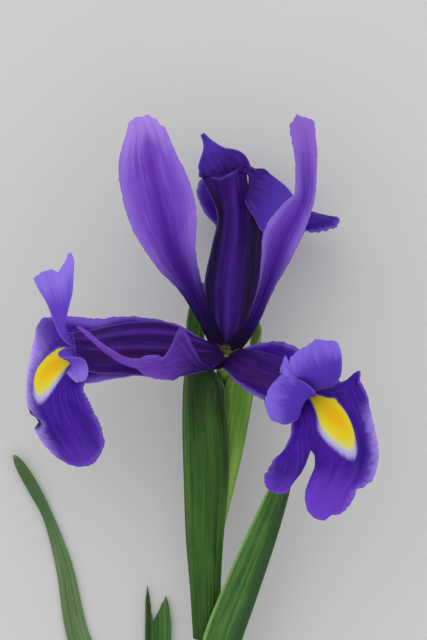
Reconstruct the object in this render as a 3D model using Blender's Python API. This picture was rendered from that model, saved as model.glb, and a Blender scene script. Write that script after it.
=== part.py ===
"""A cut bulbous iris laid on its back: stem, leaves, spathe and one open flower.

The design is drawn in the flower's own frame, in millimetres. Its origin is the throat, where
the petals leave the perianth tube. +X is to the flower's right, +Y runs up the stem and +Z is
up from the surface that the flower lies on. set_down() then moves the whole plant so that its
lowest point touches z = 0 and the origin is at the middle of its bounding box.
"""

import math
from collections import namedtuple

import bmesh
import bpy
from mathutils import Vector

MM = 0.001
SURFACE_Z = -41.0
STEM_RADIUS = 3.6
STEM_CUT_Y = -236.0
PETAL_WALL = 0.8
LEAF_WALL = 1.0
ARM_WALL = 0.7
THROAT_RADIUS = 2.9
LEAST_WIDTH = 0.7    # half the width that a tip narrows to
ROW_CROWDING = 1.25    # over 1, the rows of a petal's faces lie closer together towards its tip
SQUARE_TIP = 0.001    # a tip so short that the end stays as wide as its last station

# One cross-section of a petal or leaf. "at" is on its midrib, "face" is its upper side's normal,
# "left" and "right" are the widths either side of the midrib, and the curls are the angles in
# degrees through which the margins turn towards the upper side.
Station = namedtuple("Station", "at face left right curl_left curl_right")


def clear_scene():
    for obj in list(bpy.data.objects):
        bpy.data.objects.remove(obj)


def material(name, colour, roughness):
    made = bpy.data.materials.new(name)
    made.use_nodes = True
    shader = made.node_tree.nodes["Principled BSDF"]
    shader.inputs["Base Color"].default_value = (*colour, 1.0)
    shader.inputs["Roughness"].default_value = roughness
    return made


def spline(rows, t):
    """The point and the direction at t, 0 to 1, of a smooth curve through rows of numbers."""
    last = len(rows) - 1
    place = min(max(t, 0.0), 1.0) * last
    k = min(int(place), last - 1)
    u = place - k
    before = rows[k - 1] if k > 0 else [2 * a - b for a, b in zip(rows[0], rows[1])]
    after = rows[k + 2] if k + 2 <= last else [2 * a - b for a, b in zip(rows[-1], rows[-2])]
    point, slope = [], []
    for p0, p1, p2, p3 in zip(before, rows[k], rows[k + 1], after):
        a, b, c = 2 * p1, p2 - p0, 2 * p0 - 5 * p1 + 4 * p2 - p3
        d = 3 * p1 - p0 - 3 * p2 + p3
        point.append((a + b * u + c * u * u + d * u**3) / 2)
        slope.append((b + 2 * c * u + 3 * d * u * u) / 2)
    return point, slope


def flat_rows(stations):
    return [(*s.at, *s.face, s.left, s.right, s.curl_left, s.curl_right) for s in stations]


def blade_point(stations, s, t, tip=0.25):
    """The point of a petal at s across, -1 left to 1 right, and t along, 0 base to 1 tip."""
    row, slope = spline(flat_rows(stations), t)
    along = Vector(slope[:3]).normalized()
    side = along.cross(Vector(row[3:6])).normalized()
    face = side.cross(along)
    width, curl = (row[6], row[8]) if s < 0 else (row[7], row[9])
    if t > 1 - tip:
        width *= math.sqrt(max(1 - ((t - 1 + tip) / tip) ** 2, 0.0))
    reach = max(width, LEAST_WIDTH) * abs(s)
    turn = math.radians(curl) * abs(s)
    if abs(turn) < 1e-4:
        out, rise = reach, 0.0
    else:
        out, rise = reach * math.sin(turn) / turn, reach * (1 - math.cos(turn)) / turn
    return Vector(row[:3]) + side * math.copysign(out, s) + face * rise


def sheet_object(name, bm, wall, finish):
    """Makes the sheet in bm a closed solid of that wall, as an object placed in metres."""
    bmesh.ops.scale(bm, vec=(MM, MM, MM), verts=bm.verts)
    mesh = bpy.data.meshes.new(name)
    bm.to_mesh(mesh)
    bm.free()
    mesh.materials.append(finish)
    mesh.shade_smooth()
    obj = bpy.data.objects.new(name, mesh)
    bpy.context.scene.collection.objects.link(obj)
    solid = obj.modifiers.new("wall", "SOLIDIFY")
    solid.thickness = wall * MM
    solid.offset = 0.0
    return obj


def unit_grid(columns, rows):
    """A flat grid of faces whose vertices run from -1 to 1 across x and 0 to 1 along y."""
    bm = bmesh.new()
    bmesh.ops.create_grid(bm, x_segments=columns, y_segments=rows, size=1.0)
    for vert in bm.verts:
        vert.co.y = (vert.co.y + 1) / 2
    return bm


def blade(name, stations, finish, wall=PETAL_WALL, columns=6, rows=14, tip=0.25, end=None):
    """A petal or leaf. end(s) gives the share of its length that is left at s, where it is cut."""
    bm = unit_grid(columns, rows)
    for vert in bm.verts:
        s, t = vert.co.x, vert.co.y
        t = 1 - (1 - t) ** ROW_CROWDING
        if end:
            t *= end(s)
        vert.co = blade_point(stations, s, t, tip)
    return sheet_object(name, bm, wall, finish)


# A crest starts as the arm carried straight on, and has turned into its own shape by this share
# of its length. The carry is in steps of the arm's last part, from NEAR_END to its end.
CREST_BLEND = 0.6
NEAR_END = 0.97
CREST_CARRY = 8
CREST_TIP = 0.3


def forked_blade(name, arm, lobes, finish, wall=ARM_WALL, columns=7, arm_rows=9, lobe_rows=6):
    """A style arm whose end splits in two crest lobes. lobes holds the left and the right one."""
    rows = arm_rows + lobe_rows
    bm = unit_grid(columns, rows)
    slit = 1.0 / columns
    split = arm_rows / rows
    gap = [f for f in bm.faces if abs(f.calc_center_median().x) < slit / 2
           and f.calc_center_median().y > split]
    bmesh.ops.delete(bm, geom=gap, context="FACES")
    for vert in bm.verts:
        s, t = vert.co.x, vert.co.y
        if t <= split + 1e-6:
            vert.co = blade_point(arm, s, t / split, tip=SQUARE_TIP)
            continue
        lobe = lobes[0] if s < 0 else lobes[1]
        share = (t - split) / (1 - split)
        across = (2 * (abs(s) - slit) / (1 - slit) - 1) * math.copysign(1, s)
        end = blade_point(arm, s, 1.0, tip=SQUARE_TIP)
        near = blade_point(arm, s, NEAR_END, tip=SQUARE_TIP)
        carried = end + (end - near) * (share * CREST_CARRY)
        weight = min(share / CREST_BLEND, 1.0)
        weight = weight * weight * (3 - 2 * weight)
        vert.co = carried.lerp(blade_point(lobe, across, share, tip=CREST_TIP), weight)
    return sheet_object(name, bm, wall, finish)


def rod(name, points, radii, finish, samples=14, sides=3):
    """A round stalk along a smooth curve through points, with a radius at each of them."""
    rows = [(*p, r) for p, r in zip(points, radii)]
    curve = bpy.data.curves.new(name, "CURVE")
    curve.dimensions = "3D"
    curve.bevel_depth = MM
    curve.bevel_resolution = sides
    curve.use_fill_caps = True
    line = curve.splines.new("POLY")
    line.points.add(samples)
    for k, point in enumerate(line.points):
        x, y, z, radius = spline(rows, k / samples)[0]
        point.co = (x * MM, y * MM, z * MM, 1.0)
        point.radius = radius
    curve.materials.append(finish)
    obj = bpy.data.objects.new(name, curve)
    bpy.context.scene.collection.objects.link(obj)
    return obj


# --- stem and ovary --------------------------------------------------------------------------

STEM_PATH = [(-6.5, STEM_CUT_Y, SURFACE_Z + STEM_RADIUS), (-6.8, -190, -33.0),
             (-7.0, -140, -26.5), (-6.8, -96, -20.5)]


def make_stem(green):
    rod("stem", STEM_PATH, [STEM_RADIUS, STEM_RADIUS, 3.4, 3.0], green, samples=12, sides=3)


# The flower's own stalk, the swelling ovary and the short tube that opens into the throat.
OVARY_PATH = [(-6.6, -95.4, -20.4), (-6.4, -70, -17.6), (-5.5, -46, -14.8), (-4.6, -34, -14.0),
              (-3.2, -21, -12.0), (-1.8, -12.4, -8.7), (-1.0, -8.0, -5.8), (-0.2, -3.6, -2.4)]
OVARY_RADII = [1.8, 1.6, 1.9, 2.8, 2.6, 1.9, 2.1, THROAT_RADIUS]


def make_ovary(green):
    rod("ovary", OVARY_PATH, OVARY_RADII, green, samples=22, sides=3)


# --- falls ----------------------------------------------------------------------------------

FALL_LEFT = [
    Station((-3.6, -3.2, 0.8), (0.2, 0.85, 0.45), 2.0, 2.2, 12, 12),
    Station((-9.9, -0.6, 4.4), (0.1, 0.72, 0.68), 5.2, 5.0, 24, 24),
    Station((-19.3, 0.8, 8.6), (0.0, 0.55, 0.83), 9.0, 8.6, 26, 26),
    Station((-30.3, 1.2, 12.4), (-0.05, 0.48, 0.87), 10.6, 10.6, 24, 24),
    Station((-40.5, 1.6, 15.6), (-0.18, 0.46, 0.86), 10.8, 11.2, 14, 12),
    Station((-49.5, 0.9, 18.6), (-0.4, 0.4, 0.82), 12.0, 13.6, -10, -16),
    Station((-54.9, -5.0, 20.4), (-0.58, 0.2, 0.79), 14.6, 13.4, -20, -36),
    Station((-56.6, -12.6, 19.6), (-0.6, 0.05, 0.8), 15.6, 13.0, -22, -44),
    Station((-55.0, -20.4, 17.0), (-0.58, -0.05, 0.8), 16.6, 12.6, -20, -40),
    Station((-51.6, -27.6, 13.6), (-0.5, -0.12, 0.85), 15.8, 11.0, -16, -28),
    Station((-46.6, -34.4, 9.8), (-0.42, -0.15, 0.88), 11.0, 7.6, -12, -16),
]
FALL_RIGHT = [
    Station((3.4, -3.2, 0.8), (-0.2, 0.85, 0.45), 2.0, 2.0, 12, 12),
    Station((7.2, -3.6, 7.6), (-0.3, 0.8, 0.5), 6.0, 5.2, 24, 24),
    Station((12.4, -5.0, 16.4), (-0.35, 0.7, 0.62), 9.8, 8.2, 26, 26),
    Station((18.1, -7.2, 25.4), (-0.3, 0.66, 0.7), 10.4, 9.4, 22, 22),
    Station((23.4, -9.8, 32.4), (-0.1, 0.6, 0.8), 10.4, 10.6, 12, 10),
    Station((28.6, -13.4, 36.8), (0.15, 0.48, 0.87), 12.6, 13.0, -6, -8),
    Station((33.9, -19.0, 38.8), (0.36, 0.25, 0.9), 13.2, 17.6, -16, -16),
    Station((37.2, -26.4, 38.0), (0.4, 0.05, 0.92), 12.0, 22.0, -28, -18),
    Station((37.7, -34.4, 35.0), (0.35, -0.1, 0.93), 11.6, 25.0, -26, -16),
    Station((35.5, -42.0, 31.0), (0.25, -0.15, 0.95), 10.4, 20.0, -18, -12),
    Station((31.6, -49.4, 27.0), (0.2, -0.2, 0.96), 7.0, 8.0, -8, -8),
]
FALL_BACK = [
    Station((0.1, 0.0, -5.4), (0.0, -0.35, 0.95), 2.2, 2.2, 12, 12),
    Station((0.8, 9.5, -9.6), (0.0, -0.1, 1.0), 5.0, 5.0, 34, 34),
    Station((1.8, 21, -12.2), (0.0, -0.05, 1.0), 8.4, 8.6, 40, 40),
    Station((2.6, 33, -13.6), (0.0, 0.05, 1.0), 9.4, 9.8, 34, 34),
    Station((4.2, 44.5, -15.6), (0.05, 0.3, 0.95), 11.0, 11.5, 16, 16),
    Station((7.0, 51.6, -20.6), (0.18, 0.75, 0.65), 16.5, 18.5, -12, -12),
    Station((10.8, 51.6, -27.6), (0.26, 0.96, 0.1), 21.0, 25.0, -18, -16),
    Station((13.0, 47.6, -34.0), (0.24, 0.86, -0.45), 19.5, 24.0, -14, -12),
    Station((14.4, 41.6, -38.2), (0.15, 0.55, -0.82), 13.5, 16.0, -6, -6),
    Station((15.4, 34.4, -40.4), (0.1, 0.2, -0.97), 6.0, 6.5, 0, 0),
]


def make_falls(violet):
    for name, stations in (("fall_left", FALL_LEFT), ("fall_right", FALL_RIGHT),
                           ("fall_back", FALL_BACK)):
        blade(name, stations, violet, columns=8, rows=18, tip=0.2)


# --- standards ------------------------------------------------------------------------------

STANDARD_LEFT = [
    Station((-3.9, 2.0, -2.6), (0.35, -0.1, 0.93), 1.2, 1.2, 8, 8),
    Station((-7.2, 11.8, -1.0), (0.3, 0.0, 0.95), 2.0, 2.2, 14, 14),
    Station((-12.0, 21.4, 0.8), (0.25, 0.0, 0.97), 3.8, 4.4, 18, 18),
    Station((-16.6, 31.0, 2.6), (0.2, 0.0, 0.98), 7.4, 7.4, 20, 18),
    Station((-19.9, 42.2, 4.0), (0.15, 0.0, 0.98), 10.8, 10.8, 18, 16),
    Station((-22.1, 51.8, 4.6), (0.1, 0.05, 0.98), 11.4, 10.8, 14, 14),
    Station((-24.2, 61.4, 4.4), (0.05, 0.1, 0.98), 10.2, 8.6, 8, 10),
    Station((-25.9, 70.2, 3.2), (0.0, 0.2, 0.98), 6.6, 6.4, 0, 4),
    Station((-27.2, 76.0, 1.8), (0.0, 0.25, 0.96), 3.6, 3.6, 0, 0),
]
STANDARD_RIGHT = [
    Station((4.0, 2.0, -2.6), (-0.35, -0.1, 0.93), 1.2, 1.2, 8, 8),
    Station((8.0, 12.0, -1.0), (-0.35, 0.0, 0.93), 2.2, 2.2, 14, 14),
    Station((12.4, 21.4, 1.0), (-0.45, 0.0, 0.88), 3.4, 3.6, 18, 18),
    Station((16.2, 30.7, 3.6), (-0.62, 0.0, 0.78), 5.4, 5.6, 20, 20),
    Station((19.6, 40.0, 6.2), (-0.8, 0.05, 0.6), 7.6, 7.6, 22, 22),
    Station((23.0, 48.0, 8.0), (-0.9, 0.1, 0.42), 9.0, 9.0, 20, 20),
    Station((25.2, 56.5, 8.6), (-0.95, 0.05, 0.32), 9.4, 9.4, 14, 14),
    Station((25.4, 65.0, 8.4), (-0.94, -0.05, 0.32), 8.8, 8.8, 8, 8),
    Station((24.4, 71.6, 7.6), (-0.9, -0.15, 0.4), 7.2, 7.2, 4, 4),
    Station((23.0, 76.0, 6.4), (-0.85, -0.2, 0.48), 4.0, 4.0, 0, 0),
]
STANDARD_FRONT = [
    Station((-1.2, -6.0, 3.4), (0.1, 0.9, 0.45), 1.2, 1.2, 8, 8),
    Station((-5.2, -8.0, 11.0), (0.35, 0.7, -0.62), 2.0, 2.2, 10, 10),
    Station((-10.6, -6.6, 18.6), (0.3, 0.35, -0.88), 4.0, 4.2, 12, 12),
    Station((-16.2, -3.4, 24.4), (0.2, 0.2, -0.95), 9.6, 6.6, 14, 14),
    Station((-23.4, -3.2, 27.6), (0.1, 0.5, -0.85), 4.6, 5.8, 12, 12),
    Station((-30.0, -2.0, 29.6), (0.1, 0.93, -0.3), 5.4, 5.4, 10, 10),
    Station((-37.0, 1.4, 31.2), (0.3, 0.93, 0.1), 5.2, 5.2, 8, 8),
    Station((-43.0, 5.0, 31.8), (0.4, 0.9, 0.15), 4.4, 4.4, 4, 4),
    Station((-47.2, 7.6, 31.4), (0.4, 0.9, 0.1), 2.6, 2.6, 0, 0),
]


def make_standards(violet):
    blade("standard_left", STANDARD_LEFT, violet, columns=6, rows=14, tip=0.22)
    blade("standard_right", STANDARD_RIGHT, violet, columns=6, rows=14, tip=0.22)
    blade("standard_front", STANDARD_FRONT, violet, columns=6, rows=16, tip=0.25)


# --- style arms -----------------------------------------------------------------------------

ARM_LEFT = [
    Station((-1.8, -0.6, 2.4), (0.3, 0.75, 0.55), 1.1, 1.1, -15, -15),
    Station((-9.0, 2.8, 9.6), (0.1, 0.7, 0.7), 3.8, 3.8, -30, -30),
    Station((-19.0, 4.8, 14.4), (0.0, 0.55, 0.83), 6.2, 6.0, -40, -40),
    Station((-30.0, 4.6, 18.2), (-0.05, 0.5, 0.86), 7.2, 7.0, -40, -40),
    Station((-40.0, 4.2, 21.6), (-0.15, 0.5, 0.85), 7.0, 6.8, -32, -32),
    Station((-47.6, 3.6, 24.6), (-0.2, 0.5, 0.84), 5.6, 5.6, -20, -20),
]
CREST_LEFT_LOW = [
    Station((-48.8, 1.0, 26.8), (0.1, 0.6, 0.6), 3.0, 3.0, 0, 0),
    Station((-48.4, -1.8, 30.0), (0.3, 0.8, 0.0), 4.0, 4.0, 20, 20),
    Station((-47.4, -5.2, 30.8), (0.5, 0.1, -0.85), 3.8, 3.8, 30, 30),
    Station((-45.8, -9.8, 29.2), (0.5, 0.0, -0.85), 2.6, 2.6, 20, 20),
]
CREST_LEFT_TALL = [
    Station((-50.2, 5.4, 25.0), (0.4, 0.5, 0.77), 2.8, 2.8, 0, 0),
    Station((-51.6, 12.4, 25.0), (0.45, 0.1, 0.88), 3.2, 3.2, 16, 16),
    Station((-52.9, 19.8, 24.0), (0.4, 0.05, 0.9), 5.4, 5.4, 18, 18),
    Station((-54.2, 31.0, 21.6), (0.4, -0.1, 0.9), 7.2, 7.2, 10, 10),
]
ARM_RIGHT = [
    Station((1.8, -0.6, 2.4), (-0.2, 0.8, 0.55), 1.1, 1.1, -15, -15),
    Station((6.4, 0.0, 11.6), (-0.25, 0.8, 0.54), 3.6, 3.6, -30, -30),
    Station((11.6, -1.4, 20.6), (-0.3, 0.72, 0.62), 5.8, 5.8, -38, -38),
    Station((17.4, -3.6, 29.8), (-0.2, 0.68, 0.7), 6.6, 6.6, -38, -38),
    Station((22.6, -6.6, 37.0), (0.0, 0.66, 0.75), 6.2, 6.2, -28, -28),
    Station((26.8, -10.2, 42.6), (0.15, 0.66, 0.73), 5.0, 5.0, -16, -16),
]
CREST_RIGHT_UPPER = [
    Station((28.6, -10.6, 44.4), (0.1, 0.6, 0.3), 3.4, 3.4, 0, 0),
    Station((28.0, -6.4, 48.6), (0.1, 0.3, -0.95), 6.6, 6.6, 14, 14),
    Station((26.8, -1.6, 48.2), (0.1, 0.1, -0.95), 7.8, 8.2, 16, 16),
    Station((26.2, 4.2, 44.8), (0.1, 0.0, -0.98), 6.6, 7.0, 10, 10),
]
CREST_RIGHT_LOWER = [
    Station((25.6, -13.4, 44.6), (0.2, 0.5, 0.3), 3.4, 3.4, 0, 0),
    Station((21.4, -13.6, 47.4), (0.2, 0.1, -0.95), 5.8, 6.2, 14, 14),
    Station((16.6, -13.2, 46.0), (0.2, 0.1, -0.95), 7.4, 7.6, 16, 16),
    Station((11.4, -12.8, 42.2), (0.3, 0.0, -0.95), 5.4, 5.6, 10, 10),
]
ARM_BACK = [
    Station((0.0, 2.6, -1.6), (0.0, -0.4, 0.9), 1.1, 1.1, -15, -15),
    Station((0.8, 12.0, -5.2), (0.0, 0.0, 1.0), 3.6, 3.6, -34, -34),
    Station((1.6, 23.0, -7.2), (0.0, 0.0, 1.0), 5.6, 5.8, -44, -44),
    Station((2.6, 34.0, -8.2), (0.0, 0.05, 1.0), 6.6, 6.8, -44, -44),
    Station((3.8, 45.0, -9.0), (0.0, 0.1, 1.0), 7.0, 7.0, -36, -36),
    Station((4.8, 54.0, -9.2), (0.0, 0.1, 1.0), 6.6, 6.6, -24, -24),
]
CREST_BACK_LEFT = [
    Station((1.6, 56.6, -7.6), (0.2, 0.0, 1.0), 3.8, 3.8, 0, 0),
    Station((-1.0, 57.6, -4.0), (0.2, -0.1, 0.95), 6.2, 5.0, -14, 10),
    Station((-4.0, 61.0, -2.4), (0.1, -0.1, 0.98), 6.6, 4.6, -12, 8),
    Station((-7.2, 68.6, -3.0), (0.1, -0.1, 0.98), 2.4, 2.2, 0, 0),
]
CREST_BACK_RIGHT = [
    Station((8.0, 56.4, -7.6), (0.0, 0.2, 1.0), 3.8, 3.8, 0, 0),
    Station((12.6, 55.0, -6.6), (0.1, 0.5, 0.85), 4.0, 6.4, -10, -20),
    Station((17.0, 50.6, -7.4), (0.1, 0.5, 0.85), 4.0, 6.8, -14, -20),
    Station((21.4, 46.2, -9.6), (0.1, 0.5, 0.85), 3.4, 4.4, 0, 0),
]


def make_style_arms(violet):
    forked_blade("style_arm_left", ARM_LEFT, (CREST_LEFT_LOW, CREST_LEFT_TALL), violet)
    forked_blade("style_arm_right", ARM_RIGHT, (CREST_RIGHT_UPPER, CREST_RIGHT_LOWER), violet)
    forked_blade("style_arm_back", ARM_BACK, (CREST_BACK_LEFT, CREST_BACK_RIGHT), violet)


# --- stamens --------------------------------------------------------------------------------

# Where a stamen's points are along its fall, and its radius at each: a thin stalk, then an anther.
STAMEN_SHARES = (0.05, 0.12, 0.2, 0.28, 0.36)
STAMEN_RADII = [0.45, 0.45, 0.5, 1.0, 0.6]
LOWEST_LIFT, MOST_LIFT, LIFT_PER_SHARE = 1.2, 2.7, 12    # mm above the claw


def make_stamens(cream):
    """Each stamen lies between a fall's claw and the style arm over it."""
    for name, fall in (("left", FALL_LEFT), ("right", FALL_RIGHT), ("back", FALL_BACK)):
        points = []
        for share in STAMEN_SHARES:
            row, slope = spline(flat_rows(fall), share)
            lift = min(MOST_LIFT, LOWEST_LIFT + share * LIFT_PER_SHARE)
            points.append(Vector(row[:3]) + Vector(row[3:6]).normalized() * lift)
        rod(f"stamen_{name}", points, STAMEN_RADII, cream, samples=8, sides=1)


# --- spathe ---------------------------------------------------------------------------------

SPATHE_OUTER = [
    Station((-10.4, -94, -20.8), (1.0, 0.0, 0.0), 12.0, 8.6, 150, 110),
    Station((-11.4, -78, -18.8), (1.0, 0.0, 0.0), 13.4, 9.6, 146, 108),
    Station((-12.8, -60, -16.4), (1.0, 0.0, 0.0), 16.6, 11.6, 142, 106),
    Station((-13.4, -42, -14.2), (1.0, 0.0, 0.0), 19.6, 13.0, 136, 104),
    Station((-13.8, -28, -12.3), (1.0, 0.05, 0.0), 20.4, 13.0, 128, 98),
    Station((-13.8, -17, -11.6), (1.0, 0.1, 0.0), 19.5, 11.6, 112, 92),
    Station((-13.4, -9.5, -12.0), (1.0, 0.15, 0.0), 18.2, 10.0, 98, 84),
    Station((-12.2, -1.5, -14.4), (0.95, 0.2, 0.3), 8.0, 7.0, 56, 52),
    Station((-10.6, 8, -17.4), (0.75, 0.2, 0.62), 5.0, 4.4, 34, 30),
    Station((-9.2, 15, -18.8), (0.6, 0.2, 0.75), 3.4, 3.0, 22, 18),
    Station((-7.6, 22.5, -19.6), (0.5, 0.2, 0.85), 1.6, 1.6, 10, 10),
]
SPATHE_INNER = [
    Station((-2.4, -66, -17.0), (-1.0, 0.0, 0.0), 5.4, 5.4, 84, 84),
    Station((-0.4, -56, -16.0), (-1.0, 0.0, 0.0), 7.0, 7.4, 88, 96),
    Station((2.6, -44, -14.6), (-1.0, 0.1, 0.0), 8.2, 9.8, 86, 100),
    Station((5.6, -31, -13.8), (-1.0, 0.15, 0.0), 8.6, 11.2, 78, 100),
    Station((8.0, -18, -12.8), (-1.0, 0.12, 0.0), 8.4, 13.0, 66, 94),
    Station((9.2, -9.5, -11.8), (-1.0, 0.12, 0.0), 7.4, 13.4, 54, 90),
    Station((10.2, -1.0, -14.6), (-0.95, 0.1, 0.3), 5.0, 6.4, 40, 50),
    Station((10.4, 5, -17.6), (-0.8, 0.1, 0.55), 3.0, 3.6, 24, 28),
    Station((9.8, 11, -19.0), (-0.6, 0.1, 0.75), 1.4, 1.5, 10, 10),
]


def make_spathe(green):
    blade("spathe_outer", SPATHE_OUTER, green, wall=LEAF_WALL, columns=10, rows=16, tip=0.12)
    blade("spathe_inner", SPATHE_INNER, green, wall=LEAF_WALL, columns=8, rows=14, tip=0.14)


# --- leaves ---------------------------------------------------------------------------------

LEAF_RIGHT = [
    Station((-6.9, -158, -23.2), (0.0, -0.15, -1.0), 7.0, 7.0, 100, 100),
    Station((-6.8, -138, -19.8), (0.0, -0.15, -1.0), 7.6, 7.6, 90, 90),
    Station((-5.6, -118, -16.2), (-0.05, -0.15, -1.0), 7.6, 7.6, 70, 70),
    Station((-1.2, -96, -11.8), (-0.2, 0.0, -0.95), 7.0, 7.0, 46, 46),
    Station((5.2, -78, -9.4), (-0.3, 0.0, -0.95), 6.4, 6.4, 38, 38),
    Station((11.4, -62, -8.4), (-0.35, 0.0, -0.93), 5.4, 5.6, 34, 34),
    Station((17.2, -46, -8.0), (-0.35, 0.0, -0.93), 3.8, 4.0, 30, 30),
    Station((22.6, -30, -8.4), (-0.35, 0.0, -0.93), 1.6, 1.6, 20, 20),
]
LEAF_LEFT = [
    Station((-12.2, -198, -33.4), (1.0, 0.2, 0.1), 4.8, 4.8, 70, 70),
    Station((-14.3, -180, -32.4), (0.95, 0.25, 0.2), 5.0, 5.0, 60, 60),
    Station((-18.4, -162, -32.8), (0.7, 0.3, 0.65), 5.0, 5.0, 46, 46),
    Station((-27.6, -143, -35.6), (0.4, 0.2, 0.9), 4.8, 4.8, 36, 36),
    Station((-38.4, -121, -38.9), (0.2, 0.1, 0.97), 4.4, 4.4, 30, 30),
    Station((-49.2, -97, -40.3), (0.1, 0.0, 1.0), 3.8, 3.8, 26, 26),
    Station((-57.0, -71, -40.3), (0.0, 0.0, 1.0), 3.2, 3.2, 22, 22),
    Station((-63.8, -55, -39.4), (0.2, 0.1, 0.97), 2.6, 2.6, 20, 20),
    Station((-71.4, -35, -36.8), (0.3, 0.2, 0.93), 1.8, 1.8, 10, 10),
]
LEAF_CUT = [
    Station((-13.0, -229, -38.4), (0.5, 0.1, 0.85), 3.6, 3.6, 24, 24),
    Station((-15.8, -207, -40.0), (0.3, 0.1, 0.95), 4.4, 4.4, 28, 28),
    Station((-19.0, -180, -40.3), (0.1, 0.0, 1.0), 4.6, 4.6, 32, 32),
    Station((-21.8, -150, -40.3), (0.0, 0.0, 1.0), 4.6, 4.6, 36, 36),
    Station((-22.6, -120, -40.3), (0.0, 0.0, 1.0), 4.6, 4.6, 38, 38),
    Station((-22.6, -79, -40.3), (0.0, 0.0, 1.0), 4.4, 4.4, 38, 38),
]


NOTCH_DEPTH, NOTCH_MIDDLE, NOTCH_REACH = 0.085, -0.35, 0.5


def torn_end(s):
    """The share of the cut leaf's length that is left at s: two spikes beside a notch."""
    return 1.0 - NOTCH_DEPTH * max(0.0, 1 - abs(s - NOTCH_MIDDLE) / NOTCH_REACH)


def make_leaves(green):
    blade("leaf_right", LEAF_RIGHT, green, wall=LEAF_WALL, columns=6, rows=14, tip=0.16)
    blade("leaf_left", LEAF_LEFT, green, wall=LEAF_WALL, columns=4, rows=16, tip=0.1)
    blade("leaf_cut", LEAF_CUT, green, wall=LEAF_WALL, columns=4, rows=10, tip=SQUARE_TIP,
          end=torn_end)


# --- the whole plant ------------------------------------------------------------------------


def set_down():
    """Moves every piece so that the lowest point is at z = 0, under the box's middle."""
    bpy.context.view_layer.update()
    graph = bpy.context.evaluated_depsgraph_get()
    corners = []
    for obj in bpy.context.scene.objects:
        mesh = obj.evaluated_get(graph).to_mesh()
        corners += [obj.matrix_world @ v.co for v in mesh.vertices]
    low = [min(c[axis] for c in corners) for axis in range(3)]
    high = [max(c[axis] for c in corners) for axis in range(3)]
    shift = Vector((-(low[0] + high[0]) / 2, -(low[1] + high[1]) / 2, -low[2]))
    for obj in bpy.context.scene.objects:
        obj.location = shift


def main():
    clear_scene()
    fall_violet = material("fall_petal", (0.11, 0.02, 0.38), 0.5)
    standard_violet = material("standard_petal", (0.18, 0.08, 0.5), 0.5)
    arm_violet = material("style_arm", (0.13, 0.04, 0.42), 0.5)
    green = material("leaf_green", (0.08, 0.2, 0.03), 0.45)
    stem_green = material("stem_green", (0.12, 0.25, 0.06), 0.5)
    cream = material("stamen_cream", (0.75, 0.68, 0.45), 0.6)
    make_stem(stem_green)
    make_ovary(stem_green)
    make_falls(fall_violet)
    make_standards(standard_violet)
    make_style_arms(arm_violet)
    make_stamens(cream)
    make_spathe(green)
    make_leaves(green)
    set_down()


main()
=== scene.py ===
import math
from collections import namedtuple

import bmesh
import bpy
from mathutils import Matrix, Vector, noise


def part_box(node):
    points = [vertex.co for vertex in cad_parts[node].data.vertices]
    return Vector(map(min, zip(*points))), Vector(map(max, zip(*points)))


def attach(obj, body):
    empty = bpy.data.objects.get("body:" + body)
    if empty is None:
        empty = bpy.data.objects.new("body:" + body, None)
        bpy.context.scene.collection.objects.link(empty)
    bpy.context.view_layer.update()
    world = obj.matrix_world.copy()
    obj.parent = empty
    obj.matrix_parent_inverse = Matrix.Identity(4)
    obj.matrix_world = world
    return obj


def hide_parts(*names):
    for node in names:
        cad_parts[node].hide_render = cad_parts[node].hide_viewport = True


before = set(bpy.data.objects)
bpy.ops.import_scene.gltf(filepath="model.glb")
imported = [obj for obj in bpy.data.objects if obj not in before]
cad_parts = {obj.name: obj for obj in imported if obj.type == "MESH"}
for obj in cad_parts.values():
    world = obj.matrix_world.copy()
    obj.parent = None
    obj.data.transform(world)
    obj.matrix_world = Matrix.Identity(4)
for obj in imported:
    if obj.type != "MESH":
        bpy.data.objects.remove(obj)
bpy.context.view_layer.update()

# --- Stem -------------------------------------------------------------------------------------
# The cut flower stem, green and a little ridged, with a bloom of wax. It lies on its back, so it
# rises from its cut end towards the flower. It is drawn out round its path from one round rod.

MM = 0.001
STEM_LOW, STEM_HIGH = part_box("stem")
CUT_TO_THROAT = 236.0
THROAT_RIGHT_OF_STEM = 6.74
THROAT_HEIGHT = 40.92
THROAT = Vector(((STEM_LOW.x + STEM_HIGH.x) / 2 + THROAT_RIGHT_OF_STEM * MM,
                 STEM_LOW.y + CUT_TO_THROAT * MM, STEM_LOW.z + THROAT_HEIGHT * MM))
STEM_PATH = [(-6.5, -236, -37.4), (-6.8, -190, -33.0), (-7.0, -140, -26.5), (-6.8, -96, -20.5)]
STEM_RADII = [3.6, 3.6, 3.4, 3.0]
STEM_RIDGES = 9
# Inside the rim of a cut end the flesh has sunk, and its heart sinks deeper. They are in units of
# the rod before it is drawn out, and the scale takes them to mm.
FLESH_SINK, HEART, HEART_SINK, SINK_SCALE = 0.012, 0.3, 0.004, 20.0


def spline(rows, t):
    """The numbers at t, 0 to 1, of a smooth line through rows of numbers, and their slope."""
    last = len(rows) - 1
    place = min(max(t, 0.0), 1.0) * last
    k = min(int(place), last - 1)
    u = place - k
    before = rows[k - 1] if k > 0 else [2 * a - b for a, b in zip(rows[0], rows[1])]
    after = rows[k + 2] if k + 2 <= last else [2 * a - b for a, b in zip(rows[-1], rows[-2])]
    point, slope = [], []
    for p0, p1, p2, p3 in zip(before, rows[k], rows[k + 1], after):
        a, b, c = 2 * p1, p2 - p0, 2 * p0 - 5 * p1 + 4 * p2 - p3
        d = 3 * p1 - p0 - 3 * p2 + p3
        point.append((a + b * u + c * u * u + d * u**3) / 2)
        slope.append((b + 2 * c * u + 3 * d * u * u) / 2)
    return point, slope


def rise(x, low, high):
    """0 below low, 1 above high, and a smooth rise between them."""
    share = min(max((x - low) / (high - low), 0.0), 1.0)
    return share * share * (3 - 2 * share)


def grain(*place):
    """Smooth noise from -1 to 1, the same on every run."""
    return noise.noise(Vector((*place, 0.0, 0.0)[:3]))


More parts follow.
